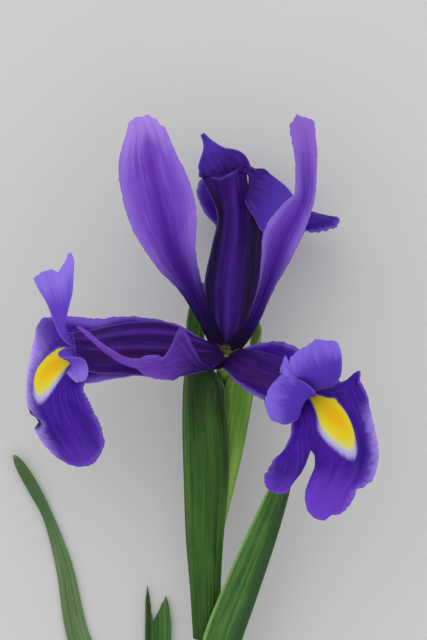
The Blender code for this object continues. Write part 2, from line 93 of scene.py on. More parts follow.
def stalk(bm, path, radii, rings, sides, outline, rim=0.14):
    """Grows a stalk round a smooth path. outline gives the share of its radius at each angle, and
    rim how far in from the skin the rings of each cut end lie."""
    bmesh.ops.create_cone(bm, cap_ends=True, cap_tris=False, segments=sides,
                          radius1=1.0, radius2=1.0, depth=1.0)
    uprights = [e for e in bm.edges if abs(e.verts[0].co.z - e.verts[1].co.z) > 0.5]
    bmesh.ops.subdivide_edges(bm, edges=uprights, cuts=rings)
    for thickness, depth in ((rim, 0.0), (rim, -FLESH_SINK), (HEART, -HEART_SINK)):
        caps = [f for f in bm.faces if len(f.verts) > 4]
        bmesh.ops.inset_region(bm, faces=caps, thickness=thickness, depth=depth)
    rows = [(*p, r) for p, r in zip(path, radii)]
    share, size = layers(bm)
    length = sum(math.dist(a, b) for a, b in zip(path, path[1:]))
    for vert in bm.verts:
        level = vert.co.z + 0.5
        t = min(max(level, 0.0), 1.0)
        row, slope = spline(rows, t)
        along = Vector(slope[:3]).normalized()
        side = Vector((0, 0, 1)).cross(along).normalized()
        up = along.cross(side)
        turn = math.atan2(vert.co.y, vert.co.x)
        out = math.hypot(vert.co.x, vert.co.y)
        reach = row[3] * out * outline(turn, t)
        vert[share] = (turn / math.pi, t, out)
        vert[size] = (turn * row[3], t * length, length * min(t, 1 - t))
        inward = (level - t) * SINK_SCALE
        spot = Vector(row[:3]) + side * (reach * math.cos(turn)) + up * (reach * math.sin(turn))
        vert.co = THROAT + (spot + along * inward) * MM


def layers(bm):
    """Where each vertex keeps its share of the piece's width and length, and both in mm."""
    vectors = bm.verts.layers.float_vector
    return (vectors.get("share") or vectors.new("share"),
            vectors.get("size") or vectors.new("size"))


def piece_of(name, bm, skins, wall=0.0, crease=50):
    """The piece that the bmesh holds, in its skins. A wall in mm makes a sheet solid."""
    mesh = bpy.data.meshes.new(name)
    bm.to_mesh(mesh)
    bm.free()
    for skin in skins:
        mesh.materials.append(skin)
    mesh.shade_smooth()
    piece = bpy.data.objects.new(name + "_grown", mesh)
    bpy.context.scene.collection.objects.link(piece)
    if wall:
        solid = piece.modifiers.new("wall", "SOLIDIFY")
        solid.thickness = wall * MM
        solid.offset = 0.0
        solid.material_offset = len(skins) - 1
    else:
        mesh.set_sharp_from_angle(angle=math.radians(crease))
    return piece


class Wire:
    """An output of a shader node. Python's operators on wires and numbers add Math nodes."""

    def __init__(self, tree, socket=None):
        self.tree, self.socket = tree, socket

    def node(self, kind, settings=(), sockets=(), output=0):
        """Adds any node: its settings come first, then the values or wires of its sockets."""
        made = self.tree.nodes.new("ShaderNode" + kind)
        for name, value in dict(settings).items():
            setattr(made, name, value)
        for key, value in dict(sockets).items():
            if isinstance(value, Wire):
                self.tree.links.new(value.socket, made.inputs[key])
            else:
                made.inputs[key].default_value = value
        return Wire(self.tree, made.outputs[output])

    def math(self, operation, first, second):
        return self.node("Math", {"operation": operation}, {0: first, 1: second})

    def __add__(self, other):
        return self.math("ADD", self, other)

    def __radd__(self, other):
        return self.math("ADD", other, self)

    def __sub__(self, other):
        return self.math("SUBTRACT", self, other)

    def __rsub__(self, other):
        return self.math("SUBTRACT", other, self)

    def __mul__(self, other):
        return self.math("MULTIPLY", self, other)

    def __rmul__(self, other):
        return self.math("MULTIPLY", other, self)

    def __truediv__(self, other):
        return self.math("DIVIDE", self, other)

    def __pow__(self, other):
        return self.math("POWER", self, other)

    def __abs__(self):
        return self.node("Math", {"operation": "ABSOLUTE"}, {0: self})

    def rise(self, low, high):
        """0 where the wire is below low, 1 above high, and a smooth rise between them."""
        return self.node("MapRange", {"interpolation_type": "SMOOTHSTEP"},
                         {"Value": self, "From Min": low, "From Max": high})

    def parts(self):
        """The wire's x, y and z."""
        x = self.node("SeparateXYZ", {}, {0: self})
        return [Wire(self.tree, out) for out in x.socket.node.outputs]

    def kept(self, name):
        """What the piece's vertices keep under that name, as three wires."""
        return self.node("Attribute", {"attribute_name": name}, output="Vector").parts()

    def noise(self, x, y, z, detail=3.0, roughness=0.55):
        """Noise from 0 to 1 whose grains are 1 long along x, y and z."""
        place = self.node("CombineXYZ", {}, {0: x, 1: y, 2: z})
        return self.node("TexNoise", {}, {"Vector": place, "Scale": 1.0, "Detail": detail,
                                          "Roughness": roughness})

    def tint(self, below, above):
        """One colour where the wire is 0 and the other where it is 1. Of the Mix node's sockets, 6
        and 7 take the colours, and the third output gives one."""
        return self.node("Mix", {"data_type": "RGBA"}, {0: self, 6: below, 7: above}, 2)

    def grow(self, height, strength, distance):
        """A bump normal from the wire."""
        return self.node("Bump", {}, {"Height": height, "Strength": strength,
                                      "Distance": distance})


def dye(red, green, blue):
    """A colour mixed in 0 to 255, as the shader takes it."""
    return tuple((c / 255 / 12.92) if c <= 10 else ((c / 255 + 0.055) / 1.055) ** 2.4
                 for c in (red, green, blue)) + (1.0,)


def skin(name, gloss=0.15, soft=0.0):
    """A new material: its shader, with the gloss and the inner glow of thin tissue, and a wire."""
    made = bpy.data.materials.new(name)
    made.use_nodes = True
    shader = made.node_tree.nodes["Principled BSDF"]
    shader.inputs["Specular IOR Level"].default_value = gloss
    shader.inputs["Subsurface Weight"].default_value = soft
    shader.inputs["Subsurface Radius"].default_value = (1.0, 0.8, 0.6)
    shader.inputs["Subsurface Scale"].default_value = 0.0012
    return made, shader, Wire(made.node_tree)


def plug(shader, socket, wire):
    wire.tree.links.new(wire.socket, shader.inputs[socket])


# A lengthwise band of another tone: its middle and reach across, and where along it comes in.
Band = namedtuple("Band", "middle reach low high tone strength")


def green_skin(name, seed, deep, mid, light, lanes, bands=(), tip=None, papery=0.0):
    """Ribbed green tissue: lanes of tone down its length, breathing pores, a waxy bloom, the
    bands, a tip that has dried between two shares of its length, and a papery hem."""
    made, shader, wire = skin(name, gloss=0.2)
    s, t, rim = wire.kept("share")
    across, along, edge = wire.kept("size")
    lane = wire.noise(s * lanes, t * 2.0, seed, detail=4.0)
    thread = wire.noise(s * (lanes * 7), along * 0.05, seed + 3.0, detail=2.0)
    bloom = wire.noise(across * 0.16, along * 0.05, seed + 9.0, detail=4.0)
    speck = wire.noise(across * 5.0, along * 1.6, seed + 5.0, detail=1.0)
    colour = lane.rise(0.32, 0.66).tint(deep, mid)
    colour = (bloom.rise(0.45, 0.8) * 0.55).tint(colour, light)
    for band in bands:
        off = abs(s - band.middle + (lane - 0.5) * 0.3)
        there = (1 - off.rise(0.0, band.reach)) * t.rise(band.low, band.high)
        colour = (there * band.strength).tint(colour, band.tone)
    colour = (thread.rise(0.52, 0.72) * 0.35).tint(colour, light)
    colour = (speck.rise(0.62, 0.8) * 0.16).tint(colour, light)
    if tip:
        start, end, tone = tip
        colour = t.rise(start, end).tint(colour, tone)
    if papery:
        hem = (1 - (edge + (thread - 0.5) * 0.5).rise(0.15, 0.75)) * papery
        colour = hem.tint(colour, dye(203, 208, 160))
    plug(shader, "Base Color", colour)
    plug(shader, "Roughness", 0.36 + 0.16 * thread + 0.1 * bloom)
    plug(shader, "Normal", wire.grow(thread + 0.3 * speck, 0.35, 0.0001))
    return made, colour, shader, wire


def stem_outline(turn, t):
    return 1 + 0.02 * math.cos(STEM_RIDGES * turn) + 0.015 * grain(turn, t * 8, 2)


stem_bm = bmesh.new()
stalk(stem_bm, STEM_PATH, STEM_RADII, rings=110, sides=72, outline=stem_outline)
stem_skin, colour, shader, wire = green_skin("stem_skin", 4.0, dye(62, 98, 44),
                                             dye(88, 128, 62), dye(128, 158, 104), lanes=6.0)
turn, _, radius = wire.kept("share")
inside = 1 - radius.rise(0.86, 0.97)
bundles = wire.noise(turn * 14.0, radius * 9.0, 6.0, detail=1.0).rise(0.6, 0.68)
flesh = (radius.rise(0.3, 0.85)).tint(dye(206, 214, 160), dye(150, 178, 104))
flesh = (bundles * 0.5).tint(flesh, dye(96, 124, 62))
plug(shader, "Base Color", inside.tint(colour, flesh))
stem = piece_of("stem", stem_bm, [stem_skin])
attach(stem, "root")
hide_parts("stem")

# --- Flower stalk, ovary and tube ---------------------------------------------------------------
# The flower's own short stalk, the three-sided ovary that would swell into the pod, and the tube
# that opens into the throat. They grew as one green piece, and hide inside the spathe.

OVARY_PATH = [(-6.6, -95.4, -20.4), (-6.4, -70, -17.6), (-5.5, -46, -14.8), (-4.6, -34, -14.0),
              (-3.2, -21, -12.0), (-1.8, -12.4, -8.7), (-1.0, -8.0, -5.8), (-0.2, -3.6, -2.4),
              (0.4, 0.2, -0.6)]
OVARY_RADII = [1.8, 1.6, 1.9, 2.8, 2.6, 1.9, 2.1, 2.9, 3.5]


def ovary_outline(turn, t):
    swell = rise(t, 0.28, 0.42) * (1 - rise(t, 0.62, 0.8))
    return 1 + 0.11 * swell * math.cos(3 * turn) - 0.04 * swell * abs(math.sin(3 * turn))


ovary_bm = bmesh.new()
stalk(ovary_bm, OVARY_PATH, OVARY_RADII, rings=90, sides=54, outline=ovary_outline)
ovary_skin, colour, shader, wire = green_skin("ovary_skin", 11.0, dye(84, 118, 50),
                                              dye(112, 142, 66), dye(150, 172, 96), lanes=5.0)
_, t, radius = wire.kept("share")
throat_tone = radius.rise(0.2, 1.0).tint(dye(60, 52, 30), dye(160, 156, 84))
plug(shader, "Base Color", t.rise(0.86, 0.97).tint(colour, throat_tone))
ovary = piece_of("ovary", ovary_bm, [ovary_skin])
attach(ovary, "root")
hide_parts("ovary")

# --- Spathe -------------------------------------------------------------------------------------
# Two green leaf-like valves that wrapped the bud and now sheathe the ovary: a deep outer one and a
# lighter inner one. They are ribbed, with a papery pale hem. Each grows as one curled sheet.

SPATHE_WALL = 0.5
SPATHE_RIBS, SPATHE_RIB_DEPTH = 11, 0.09
# A sheet's margin starts to fray this far across, and no cross-section is narrower than this.
FRAY_FROM, LEAST_WIDTH = 0.7, 0.5
# Each row of a sheet's table is one cross-section, in mm from the throat: the midrib's place, the
# way that its upper side faces, the widths to its left and right, and the degrees that the left
# and the right margin turn up.
SPATHE_OUTER = [
    (-10.4, -94, -20.8, 1, 0, 0, 12, 8.6, 150, 110),
    (-11.4, -78, -18.8, 1, 0, 0, 13.4, 9.6, 146, 108),
    (-12.8, -60, -16.4, 1, 0, 0, 16.6, 11.6, 142, 106),
    (-13.4, -42, -14.2, 1, 0, 0, 19.6, 13, 136, 104),
    (-13.8, -28, -12.3, 1, 0.05, 0, 20.4, 13, 128, 98),
    (-13.8, -17, -11.6, 1, 0.1, 0, 19.5, 11.6, 112, 92),
    (-13.4, -9.5, -12, 1, 0.15, 0, 18.2, 10, 98, 84),
    (-12.2, -1.5, -14.4, 0.95, 0.2, 0.3, 8, 7, 56, 52),
    (-10.6, 8, -17.4, 0.75, 0.2, 0.62, 5, 4.4, 34, 30),
    (-9.2, 15, -18.8, 0.6, 0.2, 0.75, 3.4, 3, 22, 18),
    (-7.6, 22.5, -19.6, 0.5, 0.2, 0.85, 1.6, 1.6, 10, 10),
]
SPATHE_INNER = [
    (-2.4, -66, -17, -1, 0, 0, 5.4, 5.4, 84, 84),
    (-0.4, -56, -16, -1, 0, 0, 7, 7.4, 88, 96),
    (2.6, -44, -14.6, -1, 0.1, 0, 8.2, 9.8, 86, 100),
    (5.6, -31, -13.8, -1, 0.15, 0, 8.6, 11.2, 78, 100),
    (8, -18, -12.8, -1, 0.12, 0, 8.4, 13, 66, 94),
    (9.2, -9.5, -11.8, -1, 0.12, 0, 7.4, 13.4, 54, 90),
    (10.2, -1, -14.6, -0.95, 0.1, 0.3, 5, 6.4, 40, 50),
    (10.4, 5, -17.6, -0.8, 0.1, 0.55, 3, 3.6, 24, 28),
    (9.8, 11, -19, -0.6, 0.1, 0.75, 1.4, 1.5, 10, 10),
]


def table(pairs, x):
    """The value at x of a line through (x, value) pairs."""
    for (x0, y0), (x1, y1) in zip(pairs, pairs[1:]):
        if x <= x1:
            return y0 + (y1 - y0) * min(max((x - x0) / (x1 - x0), 0.0), 1.0)
    return pairs[-1][1]


def sheet_spot(sections, s, t, tip=0.0, hems=None):
    """The point of a sheet that is s across, from -1 to 1, and t along, from 0 to 1, with its
    upper side's direction and its width on that side."""
    row, slope = spline(sections, t)
    along = Vector(slope[:3]).normalized()
    side = along.cross(Vector(row[3:6])).normalized()
    face = side.cross(along)
    width, curl = (row[6], row[8]) if s < 0 else (row[7], row[9])
    if hems:
        width *= table(hems[0 if s < 0 else 1], t)
    if tip and t > 1 - tip:
        width *= math.sqrt(max(1 - ((t - 1 + tip) / tip) ** 2, 0.0))
    width = max(width, LEAST_WIDTH)
    turn = math.radians(curl) * abs(s)
    reach = width * abs(s)
    bent = abs(turn) > 1e-4
    out = reach * math.sin(turn) / turn if bent else reach
    lift = reach * (1 - math.cos(turn)) / turn if bent else 0.0
    spot = Vector(row[:3]) + side * math.copysign(out, s) + face * lift
    up = face * math.cos(turn) - side * math.copysign(math.sin(turn), s)
    return spot, up, width


def sheet(bm, sections, columns, rows, tip=0.0, relief=None, end=None, hems=None, verts=None,
          spread=lambda vert: (vert.co.x, vert.co.y), fray=0.0, shift=None):
    """Adds a sheet to the bmesh. relief(s, t, across, along, edge) lifts its upper side in mm,
    end(s) is the share of its length that is there at s, hems are tables of its widths, fray
    is how much the margin wanders, as a share of the width, and shift(s, t) carries it in mm."""
    share, size = layers(bm)
    if verts is None:
        verts = unit_grid(bm, columns, rows)
    length = sum(math.dist(a[:3], b[:3]) for a, b in zip(sections, sections[1:]))
    for vert in verts:
        s, level = spread(vert)
        last = end(s) if end else 1.0
        t = level * last
        spot, up, width = sheet_spot(sections, s, t, tip, hems)
        if fray and abs(s) > FRAY_FROM:
            wander = grain(t * 34, s, columns) + 0.6 * grain(t * 90, s, 3.0)
            wide = s * (1 + fray * rise(abs(s), FRAY_FROM, 1.0) * wander)
            spot, up, width = sheet_spot(sections, wide, t, tip, hems)
        across, along = s * width, t * length
        edge = min((1 - abs(s)) * width, (last - t) * length)
        if relief:
            spot = spot + up * relief(s, t, across, along, edge)
        if shift:
            spot = spot + Vector(shift(s, t))
        vert[share] = (s, t, 1.0)
        vert[size] = (across, along, edge)
        vert.co = THROAT + spot * MM


def unit_grid(bm, columns, rows):
    """A grid of faces from -1 to 1 across x and from 0 to 1 along y."""
    verts = bmesh.ops.create_grid(bm, x_segments=columns, y_segments=rows, size=1.0)["verts"]
    for vert in verts:
        vert.co.y = (vert.co.y + 1) / 2
    return verts


def ribs(count, depth):
    """A relief of ribs down the length, which fade before the margin."""
    def relief(s, t, across, along, edge):
        return depth * math.cos(2 * math.pi * count * s) * rise(edge, 0.1, 1.2)
    return relief


for name, sections, tones, tip, bands in (
        ("spathe_outer", SPATHE_OUTER,
         (dye(22, 48, 10), dye(44, 86, 22), dye(86, 130, 48)), 0.12,
         (Band(-0.5, 0.9, 0.35, 0.75, dye(18, 40, 10), 0.85),
          Band(-0.9, 0.14, 0.2, 0.4, dye(18, 40, 8), 0.8),
          Band(-0.2, 0.1, 0.0, 0.3, dye(92, 140, 52), 0.5))),
        ("spathe_inner", SPATHE_INNER,
         (dye(62, 104, 24), dye(98, 144, 42), dye(142, 178, 78)), 0.14,
         (Band(0.3, 0.5, 0.5, 0.2, dye(150, 190, 84), 0.7),))):
    spathe_bm = bmesh.new()
    sheet(spathe_bm, sections, columns=110, rows=110, tip=tip,
          relief=ribs(SPATHE_RIBS, SPATHE_RIB_DEPTH))
    spathe_skin, *_ = green_skin(name + "_skin", 17.0, *tones, lanes=8.0, bands=bands,
                                 papery=0.12)
    lining_skin, *_ = green_skin(name + "_lining", 23.0, tones[1], tones[2], tones[2],
                                 lanes=8.0, papery=0.12)
    spathe = piece_of(name, spathe_bm, [lining_skin, spathe_skin], wall=SPATHE_WALL)
    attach(spathe, "root")
    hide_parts(name)

# --- Leaves -------------------------------------------------------------------------------------
# Three narrow channelled leaves, green and finely ribbed: one clasps the stem and leans right, one
# arches out to the left down to a browned tip, and one lower down was torn off short.

LEAF_WALL = 0.55
LEAF_RIBS, LEAF_RIB_DEPTH = 8, 0.07
LEAF_RIGHT = [
    (-6.9, -158, -23.2, 0, -0.15, -1, 7, 7, 100, 100),
    (-6.8, -138, -19.8, 0, -0.15, -1, 7.6, 7.6, 90, 90),
    (-5.6, -118, -16.2, -0.05, -0.15, -1, 7.6, 7.6, 70, 70),
    (-1.2, -96, -11.8, -0.2, 0, -0.95, 7, 7, 46, 46),
    (5.2, -78, -9.4, -0.3, 0, -0.95, 6.4, 6.4, 38, 38),
    (11.4, -62, -8.4, -0.35, 0, -0.93, 5.4, 5.6, 34, 34),
    (17.2, -46, -8, -0.35, 0, -0.93, 3.8, 4, 30, 30),
    (22.6, -30, -8.4, -0.35, 0, -0.93, 1.6, 1.6, 20, 20),
]
LEAF_LEFT = [
    (-12.2, -198, -33.4, 1, 0.2, 0.1, 4.8, 4.8, 70, 70),
    (-14.3, -180, -32.4, 0.95, 0.25, 0.2, 5, 5, 60, 60),
    (-18.4, -162, -32.8, 0.7, 0.3, 0.65, 5, 5, 46, 46),
    (-27.6, -143, -35.6, 0.4, 0.2, 0.9, 4.8, 4.8, 36, 36),
    (-38.4, -121, -38.9, 0.2, 0.1, 0.97, 4.4, 4.4, 30, 30),
    (-49.2, -97, -40.3, 0.1, 0, 1, 3.8, 3.8, 26, 26),
    (-53.9, -74, -40.3, 0, 0, 1, 2.8, 2.8, 22, 22),
    (-59.3, -56.6, -39.6, 0.3, 0.1, 0.95, 1.8, 1.8, 20, 20),
    (-65, -45.2, -38.8, 0.2, 0.1, 0.97, 2, 2, 20, 20),
    (-70.8, -35, -37.4, 0.3, 0.2, 0.93, 1.6, 1.6, 10, 10),
]
LEAF_CUT = [
    (-13, -229, -38.4, 0.5, 0.1, 0.85, 3.6, 3.6, 24, 24),
    (-15.8, -207, -40, 0.3, 0.1, 0.95, 4.4, 4.4, 28, 28),
    (-19, -180, -40.3, 0.1, 0, 1, 4.6, 4.6, 32, 32),
    (-21.8, -150, -40.3, 0, 0, 1, 4.6, 4.6, 36, 36),
    (-22.6, -120, -40.3, 0, 0, 1, 4.6, 4.6, 38, 38),
    (-22.6, -79, -40.3, 0, 0, 1, 4.4, 4.4, 38, 38),
]
TORN = ((-1.0, 0.975), (-0.85, 1.0), (-0.65, 0.975), (-0.4, 0.942), (-0.2, 0.948), (0.2, 0.966),
        (0.6, 0.982), (0.8, 0.97), (1.0, 0.94))


def torn_end(s):
    return table(TORN, s) + 0.006 * grain(s * 14, 3.0)


for name, sections, form, tones, bands, browned in (
        ("leaf_right", LEAF_RIGHT, {"tip": 0.16},
         (dye(44, 80, 32), dye(66, 112, 44), dye(110, 146, 78)),
         # Painted shade down one side of the leaf's channel, and painted light along its other
         # margin.
         (Band(-0.7, 0.7, 0.0, 0.3, dye(34, 60, 30), 0.85),
          Band(0.95, 0.2, 0.1, 0.3, dye(132, 170, 92), 0.7)), (0.985, 1.0, dye(120, 120, 70))),
        ("leaf_left", LEAF_LEFT, {"tip": 0.06},
         (dye(76, 104, 62), dye(102, 132, 84), dye(142, 160, 124)),
         (Band(0.0, 4.0, 0.72, 0.86, dye(66, 100, 54), 0.8),
          Band(0.8, 0.4, 0.3, 0.1, dye(60, 92, 48), 0.7)), (0.985, 1.0, dye(150, 138, 96))),
        ("leaf_cut", LEAF_CUT, {"end": torn_end},
         (dye(40, 78, 32), dye(62, 108, 46), dye(104, 142, 80)),
         (Band(-0.75, 0.3, 0.5, 0.9, dye(34, 48, 28), 0.8),
          Band(0.5, 0.25, 0.5, 0.9, dye(92, 138, 60), 0.7)), (0.97, 1.02, dye(84, 92, 56)))):
    leaf_bm = bmesh.new()
    sheet(leaf_bm, sections, columns=80, rows=150, relief=ribs(LEAF_RIBS, LEAF_RIB_DEPTH), **form)
    leaf_skin, *_ = green_skin(name + "_skin", 31.0, *tones, lanes=7.0, bands=bands, tip=browned)
    leaf = piece_of(name, leaf_bm, [leaf_skin], wall=LEAF_WALL)
    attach(leaf, "root")
    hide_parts(name)

# --- Falls --------------------------------------------------------------------------------------
# The three outer petals: a narrow claw, then a broad blade that hangs down, blue-violet with a
# yellow signal on its middle. Thin and soft, with a finely pleated margin that catches the light.

FALL_WALL, FALL_FRAY = 0.32, 0.035
FALL_LEFT = [
    (-1, -1.9, -1.2, 0.2, 0.7, 0.6, 4.4, 4, 12, 12),
    (-9.9, -0.9, 4.4, 0.1, 0.6, 0.78, 8, 8, 24, 24),
    (-19.3, 0.4, 8.6, 0, 0.5, 0.86, 10.6, 10.4, 26, 26),
    (-30.3, 0.6, 12.4, -0.05, 0.46, 0.88, 10.4, 11.6, 24, 24),
    (-40.5, 0.4, 15.6, -0.18, 0.44, 0.88, 11.4, 11.6, 14, 12),
    (-49.5, -0.4, 18.6, -0.4, 0.4, 0.82, 12, 15, -10, -16),
    (-54.9, -5.6, 20.4, -0.58, 0.2, 0.79, 14.6, 14.6, -20, -36),
    (-56.6, -12.6, 19.6, -0.6, 0.05, 0.8, 15.6, 13.4, -22, -44),
    (-55.2, -20.4, 17, -0.58, -0.05, 0.8, 16.2, 13, -20, -40),
    (-51.8, -27.6, 13.6, -0.5, -0.12, 0.85, 14.8, 11.4, -16, -28),
    (-45.8, -37.6, 8.8, -0.42, -0.15, 0.88, 10.4, 9, -12, -16),
]
EVEN = ((0, 1), (1, 1))
FALL_LEFT_HEMS = (((0, 1), (0.46, 1.0), (0.5, 0.96), (0.6, 0.92), (0.7, 1.0), (1, 1)),
                  ((0, 1), (0.455, 0.97), (0.48, 1.06), (0.498, 1.27), (0.512, 1.2),
                   (0.526, 1.07), (0.545, 0.99), (0.58, 0.95), (0.66, 1.0), (0.78, 1.0),
                   (0.802, 0.94), (0.815, 0.66), (0.834, 0.6), (0.852, 0.86), (0.87, 0.9),
                   (1, 0.96)))
FALL_RIGHT = [
    (0.8, -2, -1, -0.2, 0.75, 0.6, 4.4, 4, 12, 12),
    (7.2, -3.8, 7.6, -0.3, 0.7, 0.64, 9.6, 7.6, 24, 24),
    (12.4, -5.6, 16.4, -0.35, 0.64, 0.68, 12, 10, 26, 26),
    (18.1, -7.8, 25.4, -0.3, 0.62, 0.72, 11.8, 11, 22, 22),
    (23.4, -10.2, 32.4, -0.1, 0.58, 0.8, 11, 11.4, 12, 10),
    (28.6, -13.6, 36.8, 0.15, 0.48, 0.87, 12.6, 12.4, -6, -8),
    (33.9, -19, 38.8, 0.36, 0.25, 0.9, 13, 24.4, -16, -16),
    (37.2, -26.4, 38, 0.4, 0.05, 0.92, 12, 26.2, -28, -18),
    (37.7, -34.4, 35, 0.35, -0.1, 0.93, 11.6, 25.4, -26, -16),
    (35.5, -42, 31, 0.25, -0.15, 0.95, 10.4, 24.6, -18, -12),
    (31.6, -49.4, 27, 0.2, -0.2, 0.96, 9, 21, -8, -8),
]
FALL_RIGHT_HEMS = (((0, 1), (0.45, 0.8), (0.49, 0.7), (0.51, 0.78), (0.522, 1.0), (0.533, 1.34),
                    (0.54, 1.42), (0.547, 1.38), (0.557, 1.16), (0.58, 1.06), (0.61, 1.0),
                    (0.66, 0.94), (0.8, 0.95), (0.86, 0.86), (0.882, 0.62), (0.893, 0.44),
                    (0.91, 0.5), (0.95, 0.5), (1, 0.4)), EVEN)
FALL_BACK = [
    (0, 0.4, -4.4, 0, -0.35, 0.95, 2.4, 2.4, 12, 12),
    (0.8, 9.5, -10.6, 0, -0.1, 1, 4.6, 4.6, 34, 34),
    (1.8, 21, -13.8, 0, -0.05, 1, 6, 6.4, 40, 40),
    (2.6, 33, -15.4, 0, 0.05, 1, 5.6, 8, 30, 34),
    (4.2, 44, -16.8, 0.05, 0.3, 0.95, 12.8, 13, 10, 16),
    (7, 51, -20.6, 0.18, 0.75, 0.65, 19.6, 20.5, -12, -12),
    (10.8, 51.6, -27.6, 0.26, 0.96, 0.1, 23, 29.5, -18, -16),
    (13, 47.6, -34, 0.24, 0.86, -0.45, 21.5, 27, -14, -12),
    (14.4, 41.6, -38.2, 0.15, 0.55, -0.82, 13.5, 16, -6, -6),
    (15.4, 34.4, -40.4, 0.1, 0.2, -0.97, 6, 6.5, 0, 0),
]
FALL_BACK_HEMS = (((0, 1), (0.34, 0.9), (0.4, 0.72), (0.43, 0.95), (0.46, 1), (0.5, 0.96),
                   (0.56, 0.86), (1, 0.9)), EVEN)


def fall_relief(seed, pleat, from_s):
    """Ripples of a fall: a soft swell, fine veins, and pleats across the blade's margins."""
    def relief(s, t, across, along, edge):
        blade = rise(t, 0.42, 0.55)
        swell = 0.7 * grain(s * 1.6, t * 6.0, seed) * rise(t, 0.05, 0.3)
        vein = 0.02 * math.cos(2 * math.pi * 9 * s + 1.5 * grain(s * 3, t * 5, seed))
        phase = 2 * math.pi * along / 2.1 + 3.0 * grain(along * 0.12, s * 2.0, seed + 5)
        reach = rise(s if pleat[1] > pleat[0] else -s, from_s, 1.0)
        other = rise(abs(s), 0.82, 1.0)
        fold = blade * math.sin(phase) * (max(pleat) * reach + min(pleat) * other)
        keel = 0.5 * math.exp(-(s / 0.12) ** 2) * (1 - blade) * rise(t, 0.0, 0.1)
        return swell * rise(edge, -2, 6) + vein + fold - keel
    return relief


Field = namedtuple("Field", "wire s t across along edge lane thread cloud")


def petal_skin(name, seed, deep, mid, pale, hem=(2.2, 0.6), vein=0.35, washes=(), paints=()):
    """Petal tissue: lanes of deep and mid tone that fan from the base, then each of washes, fine
    veins, a margin that pales, and each of paints, a patch of its own over all that."""
    made, shader, wire = skin(name, gloss=0.1, soft=0.05)
    s, t, _ = wire.kept("share")
    across, along, edge = wire.kept("size")
    lane = wire.noise(s * 7.0, t * 2.0, seed, detail=4.0)
    thread = wire.noise(s * 30.0 + lane * 2.0, t * 3.4, seed + 2.0, detail=4.0)
    cloud = wire.noise(across * 0.13, along * 0.09, seed + 4.0, detail=3.0)
    cell = wire.noise(across * 7.0, along * 7.0, seed + 6.0, detail=1.0)
    field = Field(wire, s, t, across, along, edge, lane, thread, cloud)
    colour = (lane * 0.7 + cloud * 0.5 - 0.1).rise(0.3, 0.75).tint(deep, mid)
    for wash in washes:
        colour = wash(field, colour)
    colour = (thread.rise(0.5, 0.78) * vein).tint(colour, pale)
    colour = ((1 - thread).rise(0.5, 0.75) * vein).tint(colour, deep)
    reach, strength = hem
    ragged = edge + (thread - 0.5) * reach * 1.2 + (cloud - 0.5) * reach
    colour = ((1 - ragged.rise(0.0, reach)) * strength).tint(colour, pale)
    for paint in paints:
        colour = paint(field, colour)
    plug(shader, "Base Color", colour)
    plug(shader, "Roughness", 0.46 + 0.16 * cell)
    plug(shader, "Normal", wire.grow(thread + 0.35 * cell, 0.3, 0.0001))
    return made


def foot(low, high, tone):
    """A tone over a petal below low, which fades out by high along its length: its own, or painted
    shade where noted.
    """
    def paint(field, colour):
        level = field.t + (field.lane - 0.5) * (high - low) * 0.8
        return level.rise(low, high).tint(tone, colour)
    return paint


def crown(low, high, tone, strength):
    """The tone that a petal turns to between low and high along its length."""
    def paint(field, colour):
        level = field.t + (field.lane - 0.5) * (high - low) * 0.7
        return (level.rise(low, high) * strength).tint(colour, tone)
    return paint


def signal_patch(middle, reach, lean=0.0, tail=0.0):
    """The yellow signal: orange down its middle, with a greenish then white combed fringe."""
    def paint(field, colour):
        x = (field.s - middle[0] - (field.t - middle[1]) * lean) / reach[0]
        y = (field.t - middle[1]) / reach[1]
        away = (x * x + y * y) ** 0.5 + (field.thread - 0.5) * 0.16 + (field.cloud - 0.5) * 0.1
        low = (y - x * tail).rise(0.0, 1.0)
        halo = away - low * 0.12
        pale = (1 - halo.rise(0.94, 1.18)) * (0.15 + 0.75 * low)
        colour = pale.tint(colour, dye(188, 182, 232))
        yellow = (away + low * 0.2).rise(0.2, 0.8).tint(dye(230, 178, 18), dye(224, 202, 34))
        yellow = (low * away.rise(0.6, 1.0)).tint(yellow, dye(206, 208, 120))
        return (1 - away.rise(0.9, 1.04)).tint(colour, yellow)
    return paint


CLAW_FOOT = foot(0.0, 0.05, dye(96, 94, 36))
MAIN_LOBE_GIVES = 0.15


def parted(bm, columns, rows, middle, start, opening):
    """A unit grid with a slit from start to its far end, and where its two sides spread to. The
    side lobe gives up all of the opening, and the main lobe a share of it."""
    verts = unit_grid(bm, columns, rows)
    half = 1.0 / columns
    middle = round((middle + 1) / 2 * columns - 0.5) * 2 * half + half - 1
    bmesh.ops.delete(bm, geom=[f for f in bm.faces if f.calc_center_median().y > start
                               and abs(f.calc_center_median().x - middle) < half],
                     context="FACES")

    def spread(vert):
        s, t = vert.co.x, vert.co.y
        gap = opening * max(0.0, (t - start) / (1 - start)) ** 0.8
        if s > middle:
            return 1 - (1 - s) * (1 - middle - half - gap) / (1 - middle - half), t
        kept = 1 + middle - half
        return -1 + (s + 1) * (kept - gap * MAIN_LOBE_GIVES) / kept, t
    return [v for v in verts if v.is_valid], spread


FALL_LEFT_END = ((-1, 0.95), (-0.8, 0.975), (-0.55, 0.99), (-0.3, 0.992), (0.0, 0.986),
                 (0.3, 0.972), (0.6, 0.945), (0.8, 0.91), (1, 0.86))
FALL_RIGHT_END = ((-1, 0.985), (-0.6, 1.0), (-0.2, 1.0), (0.16, 1.0), (0.3, 0.985), (0.4, 0.955),
                  (0.47, 0.9), (0.5, 0.84), (0.56, 0.87), (0.66, 0.9), (0.78, 0.92),
                  (0.88, 0.92), (0.95, 0.895), (1, 0.85))


